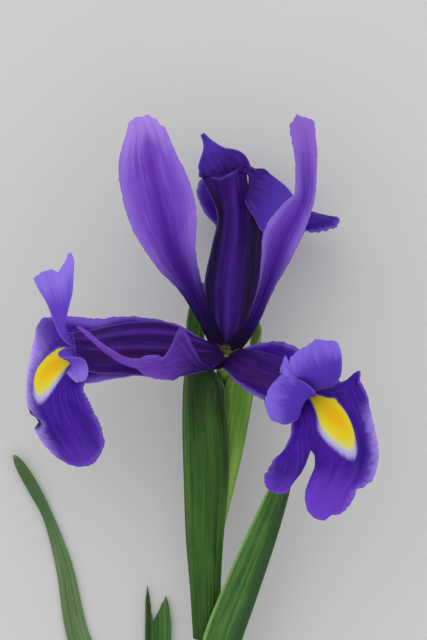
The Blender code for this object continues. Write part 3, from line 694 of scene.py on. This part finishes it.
def lobe_shift(s, t):
    """The side lobe hangs lower than the blade that it parts from, and the main lobe is long."""
    hang = rise(t, 0.72, 0.97)
    if s > 0.48:
        return (-2.4 * hang, -6.4 * hang, -2.0 * hang)
    main = rise(t, 0.84, 1.0) * rise(s, -0.4, 0.1)
    spur = rise(-s, 0.6, 1.0) * math.exp(-((t - 0.54) / 0.022) ** 2)
    return (-1.6 * main - 2.0 * spur, 0.8 * spur - 2.6 * main, 0.0)


def pleats(side, start, tone, strength, low):
    """The flared side of a blade, beyond start across and low along, striped, and pale partly by
    painted light.
    """
    def paint(field, colour):
        crimp = field.wire.noise(field.along * 0.85, field.s * 2.5, 5.0, detail=2.0)
        reach = (field.s * side + (crimp - 0.5) * 0.25).rise(start, 1.0)
        blade = field.t.rise(low, low + 0.1)
        return (reach * blade * (0.65 + 0.7 * crimp) * strength).tint(colour, tone)
    return paint


def smudge(tone, strength, middle, reach):
    """A soft oval of one tone, such as the shade inside a fold."""
    def paint(field, colour):
        x = (field.s - middle[0]) / reach[0]
        y = (field.t - middle[1]) / reach[1]
        away = (x * x + y * y) ** 0.5 + (field.cloud - 0.5) * 0.5
        return ((1 - away.rise(0.4, 1.0)) * strength).tint(colour, tone)
    return paint


# The pleated margins' pale is partly their own tone and partly painted light, lifted where the
# flared margin turns from the lamp.
PALE_MARGIN_AND_PAINTED_LIGHT = dye(178, 148, 246)
falls = (
    ("fall_left", FALL_LEFT, None,
     {"hems": FALL_LEFT_HEMS, "relief": fall_relief(3.0, (0.12, 0.5), 0.35),
      "end": lambda s: table(FALL_LEFT_END, s) + 0.003 * grain(s * 16, 5)},
     (pleats(1, 0.2, PALE_MARGIN_AND_PAINTED_LIGHT, 1.0, low=0.48),
      # Painted light: these three paler ovals lift the margins where they turn away from the lamp.
      smudge(dye(196, 170, 250), 0.85, (0.96, 0.64), (0.2, 0.14)),
      smudge(dye(124, 86, 204), 0.85, (1.0, 0.42), (0.35, 0.12)),
      smudge(dye(146, 104, 226), 0.9, (-1.0, 0.39), (0.4, 0.12)),
      crown(0.86, 1.05, dye(98, 56, 182), 0.8),
      # Painted shade: a dark narrow oval in the fold at the margin's notch.
      smudge(dye(24, 6, 70), 0.95, (0.85, 0.82), (0.36, 0.052)),
      signal_patch((0.05, 0.595), (0.36, 0.125), lean=1.2, tail=0.6))),
    ("fall_right", FALL_RIGHT, (0.47, 0.785, 0.17),
     {"hems": FALL_RIGHT_HEMS, "relief": fall_relief(8.0, (0.45, 0.05), 0.4),
      "end": lambda s: table(FALL_RIGHT_END, s), "shift": lobe_shift},
     (pleats(-1, 0.5, PALE_MARGIN_AND_PAINTED_LIGHT, 0.85, low=0.59), crown(0.76, 0.97, dye(112, 62, 204), 0.8),
      signal_patch((0.03, 0.6), (0.26, 0.143), lean=-0.5, tail=-0.6))),
    ("fall_back", FALL_BACK, None,
     {"hems": FALL_BACK_HEMS, "relief": fall_relief(14.0, (0.1, 0.15), 0.5), "tip": 0.2},
     (signal_patch((0.0, 0.55), (0.3, 0.13)),)),
)
FALL_COLUMNS, FALL_ROWS = 96, 190
for seed, (name, sections, slit, form, paints) in enumerate(falls):
    fall_bm = bmesh.new()
    layers(fall_bm)
    if slit:
        form["verts"], form["spread"] = parted(fall_bm, FALL_COLUMNS, FALL_ROWS, *slit)
    sheet(fall_bm, sections, FALL_COLUMNS, FALL_ROWS, fray=FALL_FRAY, **form)
    face_skin = petal_skin(name + "_face", 3.0 + seed * 7, dye(42, 4, 122), dye(72, 22, 160),
                           dye(146, 112, 222), hem=(2.0, 0.5), vein=0.16,
                           paints=(*paints, CLAW_FOOT))
    under_skin = petal_skin(name + "_under", 4.0 + seed * 7, dye(66, 36, 146),
                            dye(88, 54, 172), dye(142, 116, 214), paints=(CLAW_FOOT,))
    fall = piece_of(name, fall_bm, [face_skin, under_skin], wall=FALL_WALL)
    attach(fall, "root")
    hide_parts(name)

# --- Stamens ------------------------------------------------------------------------------------
# One under each style arm, lying along a fall's claw: a thin pale filament, and an anther of two
# long lobes that has split and is dusted with pollen. It grows on the fall's foot.

STAMEN_SHARES = (0.05, 0.12, 0.2, 0.28, 0.36)
STAMEN_RADII = [0.4, 0.4, 0.5, 0.85, 0.5]
STAMEN_LIFT = 1.3


def anther_outline(turn, t):
    lobe = rise(t, 0.5, 0.62)
    groove = math.exp(-(math.sin(turn - 1.57)) ** 2 * 30)
    return 1 + lobe * (0.16 * math.cos(2 * turn) - 0.1 * groove)


for name, claw in (("left", FALL_LEFT), ("right", FALL_RIGHT), ("back", FALL_BACK)):
    path = []
    for level in STAMEN_SHARES:
        row, way = spline(claw, level)
        forward = Vector(way[:3]).normalized()
        face = Vector(row[3:6]) - forward * forward.dot(Vector(row[3:6]))
        path.append(Vector(row[:3]) + face.normalized() * STAMEN_LIFT)
    stamen_bm = bmesh.new()
    stalk(stamen_bm, path, STAMEN_RADII, rings=60, sides=32, outline=anther_outline, rim=0.3)
    made, shader, wire = skin("stamen_" + name + "_skin")
    turn, t, _ = wire.kept("share")
    across, along, _ = wire.kept("size")
    dust = wire.noise(across * 5.0, along * 5.0, 3.0, detail=3.0)
    streak = wire.noise(turn * 3.0, along * 0.3, 8.0, detail=2.0)
    stalk_tone = streak.tint(dye(206, 196, 214), dye(236, 232, 236))
    anther_tone = dust.rise(0.35, 0.7).tint(dye(190, 170, 120), dye(240, 230, 186))
    plug(shader, "Base Color", t.rise(0.5, 0.58).tint(stalk_tone, anther_tone))
    plug(shader, "Roughness", 0.55 + 0.3 * dust)
    plug(shader, "Normal", wire.grow(dust, 0.7, 0.0002))
    stamen = piece_of("stamen_" + name, stamen_bm, [made])
    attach(stamen, "root")
    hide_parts("stamen_" + name)

# --- Style arms ---------------------------------------------------------------------------------
# Three petal-like branches of the style, arched over the stamens. Each is ribbed, ends in a rolled
# stigma lip, and splits beyond it in two frilled crests that stand up and turn back.

ARM_WALL = 0.32
ARM_LEFT = [
    (-0.6, 0.2, 0.6, 0.2, 0.6, 0.7, 3.4, 3.4, -15, -15),
    (-9, 0.9, 9.6, 0.1, 0.45, 0.88, 7.4, 7.2, -28, -28),
    (-19, 2, 14.8, 0, 0.35, 0.93, 10, 9.8, -34, -34),
    (-30, 2.4, 19, -0.05, 0.35, 0.93, 9.2, 9.2, -34, -34),
    (-40, 1.4, 22.4, -0.15, 0.4, 0.9, 8, 8, -28, -28),
    (-47.2, 1.8, 25, -0.2, 0.5, 0.84, 6, 6, -18, -18),
]
CREST_LEFT_LOW = [
    (-48.8, 2, 26.8, 0.1, 0.6, 0.6, 3.2, 3.2, 0, 0),
    (-48.3, -2, 30, 0.3, 0.8, 0.2, 4.8, 4.8, 20, 20),
    (-46.6, -5.2, 30.8, 0.4, 0.1, -0.9, 4.2, 4.2, 30, 30),
    (-44.8, -9.4, 29.6, 0.4, 0, -0.9, 2.8, 2.8, 20, 20),
]
CREST_LEFT_TALL = [
    (-50.2, 5.4, 25, 0.4, 0.5, 0.77, 2.8, 2.8, 0, 0),
    (-51.6, 12.4, 25, 0.45, 0.1, 0.88, 3.2, 3.2, 16, 16),
    (-52.9, 19.8, 24, 0.4, 0.05, 0.9, 5.4, 5.4, 18, 18),
    (-54.2, 31, 21.6, 0.4, -0.1, 0.9, 7.2, 7.2, 10, 10),
]
ARM_RIGHT = [
    (0.8, -0.6, 0.8, -0.2, 0.6, 0.75, 3.6, 3.6, -15, -15),
    (6.2, -3, 13, -0.25, 0.5, 0.8, 6.6, 6.6, -28, -28),
    (11.1, -5.6, 22.6, -0.3, 0.45, 0.84, 7.6, 7.6, -34, -34),
    (16.8, -8, 31.8, -0.2, 0.45, 0.86, 7.8, 7.8, -34, -34),
    (22.2, -10, 38.6, 0, 0.5, 0.86, 6.8, 6.8, -26, -26),
    (26.4, -11.6, 43.4, 0.15, 0.6, 0.78, 5, 5, -16, -16),
]
CREST_RIGHT_UPPER = [
    (28.6, -10.6, 44.4, 0.1, 0.6, 0.3, 3.4, 3.4, 0, 0),
    (28, -6.4, 48.6, 0.1, 0.3, -0.95, 6.6, 6.6, 14, 14),
    (26.8, -1.6, 48.2, 0.1, 0.1, -0.95, 7.8, 8.2, 16, 16),
    (26.2, 4.2, 44.8, 0.1, 0, -0.98, 6.6, 7, 10, 10),
]
CREST_RIGHT_LOWER = [
    (25.6, -13.4, 44.6, 0.2, 0.5, 0.3, 3.4, 3.4, 0, 0),
    (21.4, -13.6, 47.4, 0.2, 0.1, -0.95, 5.8, 6.2, 14, 14),
    (16.6, -13.2, 46, 0.2, 0.1, -0.95, 7.4, 7.6, 16, 16),
    (11.4, -12.8, 42.2, 0.3, 0, -0.95, 5.4, 5.6, 10, 10),
]
ARM_BACK = [
    (0.6, 1, -2.2, 0, -0.4, 0.9, 4.4, 4.4, -15, -15),
    (1, 11, -5.2, 0, 0, 1, 8.4, 8.4, -34, -34),
    (1.8, 22, -7.2, 0, 0, 1, 9.8, 9.8, -44, -44),
    (3.2, 33, -8.2, 0, 0.05, 1, 9.2, 9.4, -46, -46),
    (3.8, 45, -8.6, 0, 0.1, 1, 7.8, 9, -44, -44),
    (2.6, 57.6, -8, -0.1, 0.25, 0.96, 12.4, 9, -34, -34),
]
CREST_BACK_LEFT = [
    (-0.2, 56.4, -10.6, 0.1, -0.1, 0.98, 8.2, 8.6, 10, 10),
    (-0.6, 60, -9.6, 0.1, -0.1, 0.98, 8.6, 8, -10, 20),
    (-3.2, 63.6, -8.2, 0.1, -0.1, 0.98, 7, 3.8, -10, 10),
    (-5.6, 67, -7, 0.1, -0.1, 0.98, 1.8, 1.7, -6, 6),
    (-7.6, 70.2, -6, 0.1, -0.1, 0.98, 0.6, 0.6, 0, 0),
]
CREST_BACK_RIGHT = [
    (7.4, 54, -7.4, 0.1, 0.2, 1, 8, 4.6, -30, -10),
    (11.4, 52.4, -6, 0.1, 0.2, 0.97, 7.2, 8.6, -34, -20),
    (17, 50, -7, 0.15, 0.3, 0.94, 5.6, 12.5, -26, -24),
    (23.2, 46.2, -9.4, 0.2, 0.4, 0.9, 3.4, 6, -10, -10),
]
ARM_COLUMNS, ARM_ROWS, CREST_ROWS = 61, 70, 70
NEAR_END, CREST_CARRY = 0.97, 8.0
# A crest's sections, hems, end and tip are a sheet's. Up to join along, it grows out of its arm.
Crest = namedtuple("Crest", "sections hems end tip join")


def arm_relief(seed, ribs, depth):
    """Ribs down an arm, with finer ones between them and a slight unevenness."""
    def relief(s, t, across, along, edge):
        rib = depth * math.cos(2 * math.pi * ribs * (s + 0.08) + 0.8 * grain(t * 3, s, seed))
        fine = 0.03 * math.cos(2 * math.pi * 10 * s)
        return (rib + fine) * rise(t, 0.03, 0.2) + 0.25 * grain(s * 2, t * 6, seed)
    return relief


def crest_relief(seed):
    """A crest's fan of veins, its frill, which grows towards its end, and its sway."""
    def relief(s, t, across, along, edge):
        fan = 0.10 * math.cos(2 * math.pi * 7 * s + 2 * grain(t * 2, s, seed))
        frill = 0.4 * grain(s * 6, t * 3, seed) * rise(t, 0.3, 0.9)
        wave = 0.8 * grain(s * 1.5, t * 3, seed) * rise(t, 0.2, 0.8)
        return (fan + frill) * rise(t, 0.1, 0.4) + wave
    return relief


def style_arm(bm, arm, crests, seed, ribs, depth, lip=None):
    """Adds an arm whose last faces fork in two crests, both grown out of its own end."""
    rows = ARM_ROWS + CREST_ROWS
    share, _ = layers(bm)
    verts = unit_grid(bm, ARM_COLUMNS, rows)
    slit, fork = 1.0 / ARM_COLUMNS, ARM_ROWS / rows
    gap = [f for f in bm.faces if abs(f.calc_center_median().x) < slit / 2
           and f.calc_center_median().y > fork]
    bmesh.ops.delete(bm, geom=gap, context="FACES")
    verts = [v for v in verts if v.is_valid]
    low = [v for v in verts if v.co.y <= fork + 1e-6]
    for crest, sign in zip(crests, (-1, 1)):
        lobe = [v for v in verts if v.co.y > fork + 1e-6 and v.co.x * sign > 0]
        grid = {v: v.co.copy() for v in lobe}

        def across(vert):
            x, y = grid[vert].x, grid[vert].y
            return ((2 * (abs(x) - slit) / (1 - slit) - 1) * sign, (y - fork) / (1 - fork))

        sheet(bm, crest.sections, 0, 0, tip=crest.tip, relief=crest_relief(seed + sign),
              end=crest.end, hems=crest.hems, verts=lobe, spread=across)
        for vert in lobe:
            s, along = across(vert)
            end, *_ = sheet_spot(arm, grid[vert].x, 1.0)
            near, *_ = sheet_spot(arm, grid[vert].x, NEAR_END)
            carried = THROAT + (end + (end - near) * (along * CREST_CARRY)) * MM
            vert.co = carried.lerp(vert.co, rise(along, 0.0, crest.join))
            vert[share] = (s, 1.0 + along, 1.0)
    sheet(bm, arm, 0, 0, relief=arm_relief(seed, ribs, depth), shift=lip, verts=low,
          spread=lambda v: (v.co.x, v.co.y / fork))


def frilled(pairs, seed, depth=0.02):
    """An end that follows a table across the crest, with a fine uneven frill."""
    return lambda s: (table(pairs, s) + depth * grain(s * 9, seed)
                      + depth / 2 * grain(s * 23, seed))


def folded_lip(s, t):
    """The end of the back arm, which turns over in a wavy fold."""
    wave = table(((-1, 1.4), (-0.35, -1.2), (0.35, 2.4), (0.7, 1.6), (1, -1.0)), s)
    return (0.0, wave * rise(t, 0.84, 1.0), 0.0)


def stripes(tone, strength, *places):
    """Bands of one tone along an arm, each at a share across it and so wide."""
    def paint(field, colour):
        for middle, reach in places:
            off = abs(field.s - middle + (field.lane - 0.5) * 0.12)
            band = (1 - off.rise(0.0, reach)) * (1 - field.t.rise(0.84, 1.02))
            colour = (band * strength).tint(colour, tone)
        return colour
    return paint


arms = (
    ("style_arm_left", ARM_LEFT,
     (Crest(CREST_LEFT_LOW, (EVEN, EVEN), frilled(((-1, 0.95), (1, 0.95)), 2.0, 0.04), 0.3, 0.4),
      Crest(CREST_LEFT_TALL, (((0, 1), (0.55, 1.0), (0.775, 1.22), (1, 1.25)),
                              ((0, 1), (0.9, 1.0), (0.95, 0.96), (1, 0.8))),
            frilled(((-1, 0.775), (-0.5, 0.835), (-0.1, 0.858), (0.17, 0.825), (0.5, 0.9),
                     (0.8, 0.985), (1, 1.0)), 5.0, 0.008), 0.0, 0.6)), 2.0, (1.7, 0.3),
     # The first stripes are painted shade between the ribs, and the lighter second ones are
     # painted highlights along them.
     (stripes(dye(30, 4, 78), 0.6, (0.75, 0.2), (0.22, 0.22)),
      stripes(dye(92, 50, 160), 0.4, (0.5, 0.16), (-0.08, 0.1)),
      stripes(dye(46, 8, 68), 0.8, (-0.35, 0.4)),
      crown(0.95, 1.3, dye(104, 68, 200), 0.95), crown(1.5, 1.95, dye(150, 124, 232), 0.8))),
    ("style_arm_right", ARM_RIGHT,
     (Crest(CREST_RIGHT_UPPER, (((0, 1), (0.85, 1.0), (0.95, 1.05), (1, 1.0)), EVEN),
            frilled(((-1, 0.93), (-0.6, 0.99), (-0.2, 1.0), (0.2, 0.96), (0.6, 0.9), (0.9, 0.81),
                     (1, 0.72)), 7.0, 0.03), 0.14, 0.32),
      Crest(CREST_RIGHT_LOWER, (((0, 1), (0.5, 1.1), (0.68, 1.75), (0.74, 1.3), (1, 1.1)),
                                ((0, 1), (0.8, 1.15), (0.9, 1.2), (1, 1))),
            frilled(((-1, 0.745), (-0.75, 0.74), (-0.62, 0.66), (-0.54, 0.88), (-0.3, 0.95),
                     (1, 1.0)), 9.0, 0.03), 0.12, 0.32)), 6.0, (2.0, 0.3),
     (stripes(dye(62, 14, 82), 0.6, (0.3, 0.4)), stripes(dye(30, 4, 70), 0.5, (-0.4, 0.25)),
      crown(0.95, 1.25, dye(78, 46, 172), 0.95), crown(1.45, 1.95, dye(132, 106, 224), 0.8))),
    ("style_arm_back", ARM_BACK,
     (Crest(CREST_BACK_LEFT, (EVEN, EVEN), frilled(EVEN, 12.0), 0.0, 0.06),
      Crest(CREST_BACK_RIGHT, (EVEN, EVEN), frilled(EVEN, 13.0), 0.3, 0.1)), 11.0,
     (1.25, 0.8, folded_lip),
     # The near-black side stripes are painted shade where the arm's sides fall into the gaps
     # beside it, and the lighter stripe near its middle is a painted highlight on its ridge.
     (stripes(dye(18, 3, 42), 0.95, (-0.8, 0.55), (0.7, 0.62)),
      stripes(dye(78, 36, 152), 0.4, (-0.08, 0.2)),
      stripes(dye(70, 34, 142), 0.35, (-0.45, 0.12)),
      crown(1.1, 1.7, dye(76, 46, 168), 0.95), crown(1.5, 1.95, dye(92, 66, 184), 0.7),
      # Painted highlight: a small near-white oval on the folded lip.
      smudge(dye(226, 214, 232), 0.85, (0.47, 0.965), (0.045, 0.05)))),
)
for name, arm, crests, seed, ridges, washes in arms:
    arm_bm = bmesh.new()
    style_arm(arm_bm, arm, crests, seed, *ridges)
    # Each arm's dark foot is painted shade where it goes down into the throat; the olive foot is
    # its own tone.
    arm_skin = petal_skin(name + "_skin", seed, dye(38, 3, 88), dye(62, 18, 122),
                          dye(150, 122, 228), hem=(0.8, 0.25), vein=0.1, washes=washes,
                          paints=(foot(0.02, 0.2, dye(28, 3, 60)),
                                  foot(0.0, 0.03, dye(90, 88, 36))))
    piece = piece_of(name, arm_bm, [arm_skin], wall=ARM_WALL)
    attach(piece, "root")
    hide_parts(name)

# --- Standards ----------------------------------------------------------------------------------
# The three inner petals, lighter and more rosy than the falls, with fine veins that fan from a
# dark narrow foot that painted shade deepens in the throat. Two stand up. The front one has
# flopped across the left fall, rolled up.

STANDARD_WALL, STANDARD_FRAY = 0.3, 0.03
STANDARD_LEFT = [
    (-1.6, 0.6, -2.6, 0.35, -0.1, 0.93, 2.6, 2.6, 8, 8),
    (-7.2, 11.8, -1, 0.3, 0, 0.95, 2.6, 2.8, 14, 14),
    (-12, 21.4, 0.8, 0.25, 0, 0.97, 3.8, 4.4, 18, 18),
    (-16.6, 31, 2.6, 0.2, 0, 0.98, 7.4, 7.4, 20, 18),
    (-19.9, 42.2, 4, 0.15, 0, 0.98, 10.8, 10.8, 18, 16),
    (-22.1, 51.8, 4.6, 0.1, 0.05, 0.98, 11.4, 10.8, 14, 14),
    (-24.2, 61.4, 4.4, 0.05, 0.1, 0.98, 10.2, 8.6, 8, 10),
    (-25.7, 70.2, 3.2, 0, 0.2, 0.98, 6.4, 6.6, 0, 4),
    (-27, 75.6, 1.8, 0, 0.25, 0.96, 3.8, 5, 0, 0),
]
STANDARD_RIGHT = [
    (1.3, 0.9, -2.5, -0.3, -0.1, 0.93, 2.6, 2.6, 8, 8),
    (5, 4.5, -1.5, -0.35, 0, 0.93, 2.4, 2.4, 12, 12),
    (8.7, 10.2, 0.5, -0.4, 0, 0.9, 2.2, 2.2, 14, 14),
    (12.6, 19.8, 2.5, -0.45, 0, 0.88, 2.8, 2.8, 18, 18),
    (15.6, 28.7, 5, -0.5, 0, 0.85, 5, 5, 20, 20),
    (17.8, 35.6, 7, -0.6, 0, 0.8, 7, 7, 22, 22),
    (21.8, 42.8, 8.5, -0.75, 0.05, 0.65, 7, 7, 20, 20),
    (24.8, 49.8, 9, -0.85, 0.05, 0.5, 5.6, 7, 14, 14),
    (25, 59.3, 8.5, -0.85, 0, 0.5, 5.4, 7, 8, 8),
    (24.6, 65.4, 8, -0.8, -0.1, 0.55, 5.4, 6.8, 4, 4),
    (24, 71.2, 6.5, -0.75, -0.15, 0.6, 5.6, 6.8, 0, 0),
    (23.4, 76, 6, -0.75, -0.2, 0.6, 4.8, 6.4, 0, 0),
]
STANDARD_FRONT = [
    (-0.2, -2.6, 1.2, 0.1, 0.9, 0.45, 1.5, 1.5, 8, 8),
    (-3.8, -5.3, 9, 0.35, 0.7, -0.62, 1.6, 1.8, 10, 10),
    (-7.3, -5.2, 14, 0.35, 0.5, -0.75, 2.6, 2.4, 10, 10),
    (-10.7, -4.6, 18.5, 0.3, 0.35, -0.88, 4.6, 4.2, 12, 12),
    (-14.4, -4.2, 22.5, 0.2, 0.2, -0.95, 7.2, 4.6, 14, 14),
    (-18.1, -4.3, 25, 0.2, 0.2, -0.95, 7, 4.2, 14, 14),
    (-21.5, -4.3, 27, 0.1, 0.3, -0.9, 5, 3.8, 14, 14),
    (-24.5, -4, 28.5, 0.1, 0.5, -0.8, 4, 3.4, 24, 24),
    (-27.3, -4.1, 29.5, 0.1, 0.8, -0.5, 3, 3, 70, 70),
    (-30.9, -3, 30.5, 0.1, 0.93, -0.3, 2.6, 2.6, 130, 130),
    (-35.2, -0.8, 31.5, 0.2, 0.93, -0.2, 2.4, 2.4, 150, 150),
    (-39.5, 1.9, 32.3, 0.3, 0.93, -0.1, 2.4, 2.4, 150, 150),
    (-43.1, 5, 32.5, 0.3, 0.9, -0.1, 2.2, 2.2, 140, 140),
    (-45.9, 8.1, 32, 0.3, 0.9, -0.1, 1.4, 1.4, 120, 120),
]


def standard_relief(seed):
    """A standard's fine veins, slow waves, frilled margins and sunken midrib."""
    def relief(s, t, across, along, edge):
        vein = 0.03 * math.cos(2 * math.pi * 11 * s + 1.5 * grain(s * 3, t * 4, seed))
        wave = 0.7 * grain(s * 1.5, t * 5, seed) + 0.3 * grain(s * 4, t * 11, seed + 3)
        frill = 0.35 * grain(along * 0.5, s, seed) * rise(abs(s), 0.6, 1.0)
        rib = -0.35 * math.exp(-(s / 0.1) ** 2) * rise(t, 0.0, 0.2) * (1 - rise(t, 0.6, 0.95))
        return (wave + frill) * rise(t, 0.1, 0.4) + vein + rib
    return relief


def core(tone, low, high):
    """A dark heart: the tone fills the foot, and narrows up the midrib in veins."""
    def paint(field, colour):
        spread = abs(field.s) * 0.75 + field.t + (field.thread - 0.5) * 0.35
        return spread.rise(low, high).tint(tone, colour)
    return paint


STANDARD_LEFT_END = ((-1, 0.955), (-0.75, 0.985), (-0.4, 1.0), (0.1, 0.985), (0.4, 0.995),
                     (0.6, 0.96), (0.8, 0.945), (0.9, 0.9), (1, 0.89))
STANDARD_RIGHT_END = ((-1, 0.955), (-0.7, 0.96), (-0.5, 0.985), (-0.3, 1.0), (0.0, 0.98),
                      (0.4, 0.96), (0.8, 0.935), (1, 0.91))
standards = (
    ("standard_left", STANDARD_LEFT,
     {"hems": (EVEN, ((0, 1), (0.82, 1.0), (0.88, 0.98), (0.9, 0.9), (1, 1))),
      "end": lambda s: table(STANDARD_LEFT_END, s) + 0.006 * grain(s * 6, 7)},
     (dye(104, 58, 180), dye(122, 80, 198), dye(172, 138, 232)), (5.0, 0.4),
     (core(dye(72, 24, 146), 0.4, 1.0), crown(0.68, 0.98, dye(170, 136, 228), 0.85),
      smudge(dye(92, 42, 164), 0.65, (0.05, 0.76), (0.45, 0.13)))),
    ("standard_right", STANDARD_RIGHT,
     {"hems": (EVEN, EVEN),
      "end": lambda s: table(STANDARD_RIGHT_END, s) + 0.008 * grain(s * 6, 2)},
     (dye(90, 46, 164), dye(110, 70, 186), dye(160, 128, 224)), (4.0, 0.5),
     (core(dye(76, 30, 152), 0.4, 1.0), crown(0.6, 0.95, dye(146, 106, 210), 0.8))),
    ("standard_front", STANDARD_FRONT,
     {"tip": 0.06,
      "hems": (((0, 1), (0.17, 1), (0.215, 0.8), (0.25, 0.95), (0.285, 1.15), (0.305, 1.5),
                (0.32, 1.78), (0.335, 1.45), (0.355, 1.05), (0.39, 0.72), (0.42, 0.5),
                (0.45, 0.62), (0.48, 0.85), (0.54, 0.95), (0.6, 1), (1, 1)), EVEN)},
     (dye(94, 50, 162), dye(112, 68, 184), dye(144, 110, 212)), (1.5, 0.3),
     (foot(0.1, 0.22, dye(66, 26, 128)),)),
)
for seed, (name, sections, form, tones, hem, paints) in enumerate(standards):
    standard_bm = bmesh.new()
    sheet(standard_bm, sections, columns=96, rows=170, relief=standard_relief(20.0 + seed),
          fray=STANDARD_FRAY, **form)
    # The two dark feet are painted shade where the standards go down into the throat.
    standard_skin = petal_skin(name + "_skin", 30.0 + seed * 5, *tones, hem=hem, vein=0.2,
                               paints=(*paints, foot(0.14, 0.5, dye(42, 6, 102)),
                                       foot(0.03, 0.28, dye(16, 3, 38))))
    standard = piece_of(name, standard_bm, [standard_skin], wall=STANDARD_WALL)
    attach(standard, "root")
    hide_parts(name)

# --- Floor, light and camera --------------------------------------------------------------------
# A plain pale surface that the flower lies on, a broad soft lamp above its top left, even light
# from all round, and a camera that looks straight down on it from a good distance.

FLOOR_SIZE = 3.0
CAMERA_HEIGHT = 800.0
CAMERA_AIM = (-4.0, 10.24)
VIEW_HEIGHT = 204.8
SENSOR = 36.0
SKY_STRENGTH = 0.88
LAMP_SIZE, LAMP_WATTS = 2.4, 11.0
LAMP_PLACE = (-0.6, 1.1, 1.8)

floor_mesh = bpy.data.meshes.new("floor")
floor_bm = bmesh.new()
bmesh.ops.create_grid(floor_bm, x_segments=4, y_segments=4, size=FLOOR_SIZE / 2)
floor_bm.to_mesh(floor_mesh)
floor_bm.free()
floor = bpy.data.objects.new("floor", floor_mesh)
bpy.context.scene.collection.objects.link(floor)
made, shader, wire = skin("floor_paint")
place = wire.node("TexCoord", output="Object").parts()
mottle = wire.noise(place[0] * 3.0, place[1] * 3.0, 0.0)
plug(shader, "Base Color", mottle.tint(dye(203, 203, 203), dye(207, 207, 206)))
shader.inputs["Roughness"].default_value = 0.9
floor_mesh.materials.append(made)

world = bpy.data.worlds.new("studio")
world.use_nodes = True
sky = world.node_tree.nodes["Background"]
sky.inputs["Color"].default_value = (1.0, 1.0, 1.0, 1.0)
sky.inputs["Strength"].default_value = SKY_STRENGTH
bpy.context.scene.world = world

lamp_data = bpy.data.lights.new("soft_lamp", "AREA")
lamp_data.shape = "DISK"
lamp_data.size = LAMP_SIZE
lamp_data.energy = LAMP_WATTS
lamp = bpy.data.objects.new("soft_lamp", lamp_data)
lamp.location = THROAT + Vector(LAMP_PLACE)
lamp.rotation_euler = (THROAT - lamp.location).to_track_quat("-Z", "Y").to_euler()
bpy.context.scene.collection.objects.link(lamp)

camera_data = bpy.data.cameras.new("camera")
camera_data.sensor_fit = "AUTO"
camera_data.sensor_width = SENSOR
camera_data.lens = SENSOR * CAMERA_HEIGHT / VIEW_HEIGHT
camera_data.clip_end = 10.0
camera = bpy.data.objects.new("camera", camera_data)
camera.location = THROAT + Vector((*CAMERA_AIM, CAMERA_HEIGHT)) * MM
bpy.context.scene.collection.objects.link(camera)
bpy.context.scene.camera = camera
bpy.context.scene.view_settings.view_transform = "Standard"
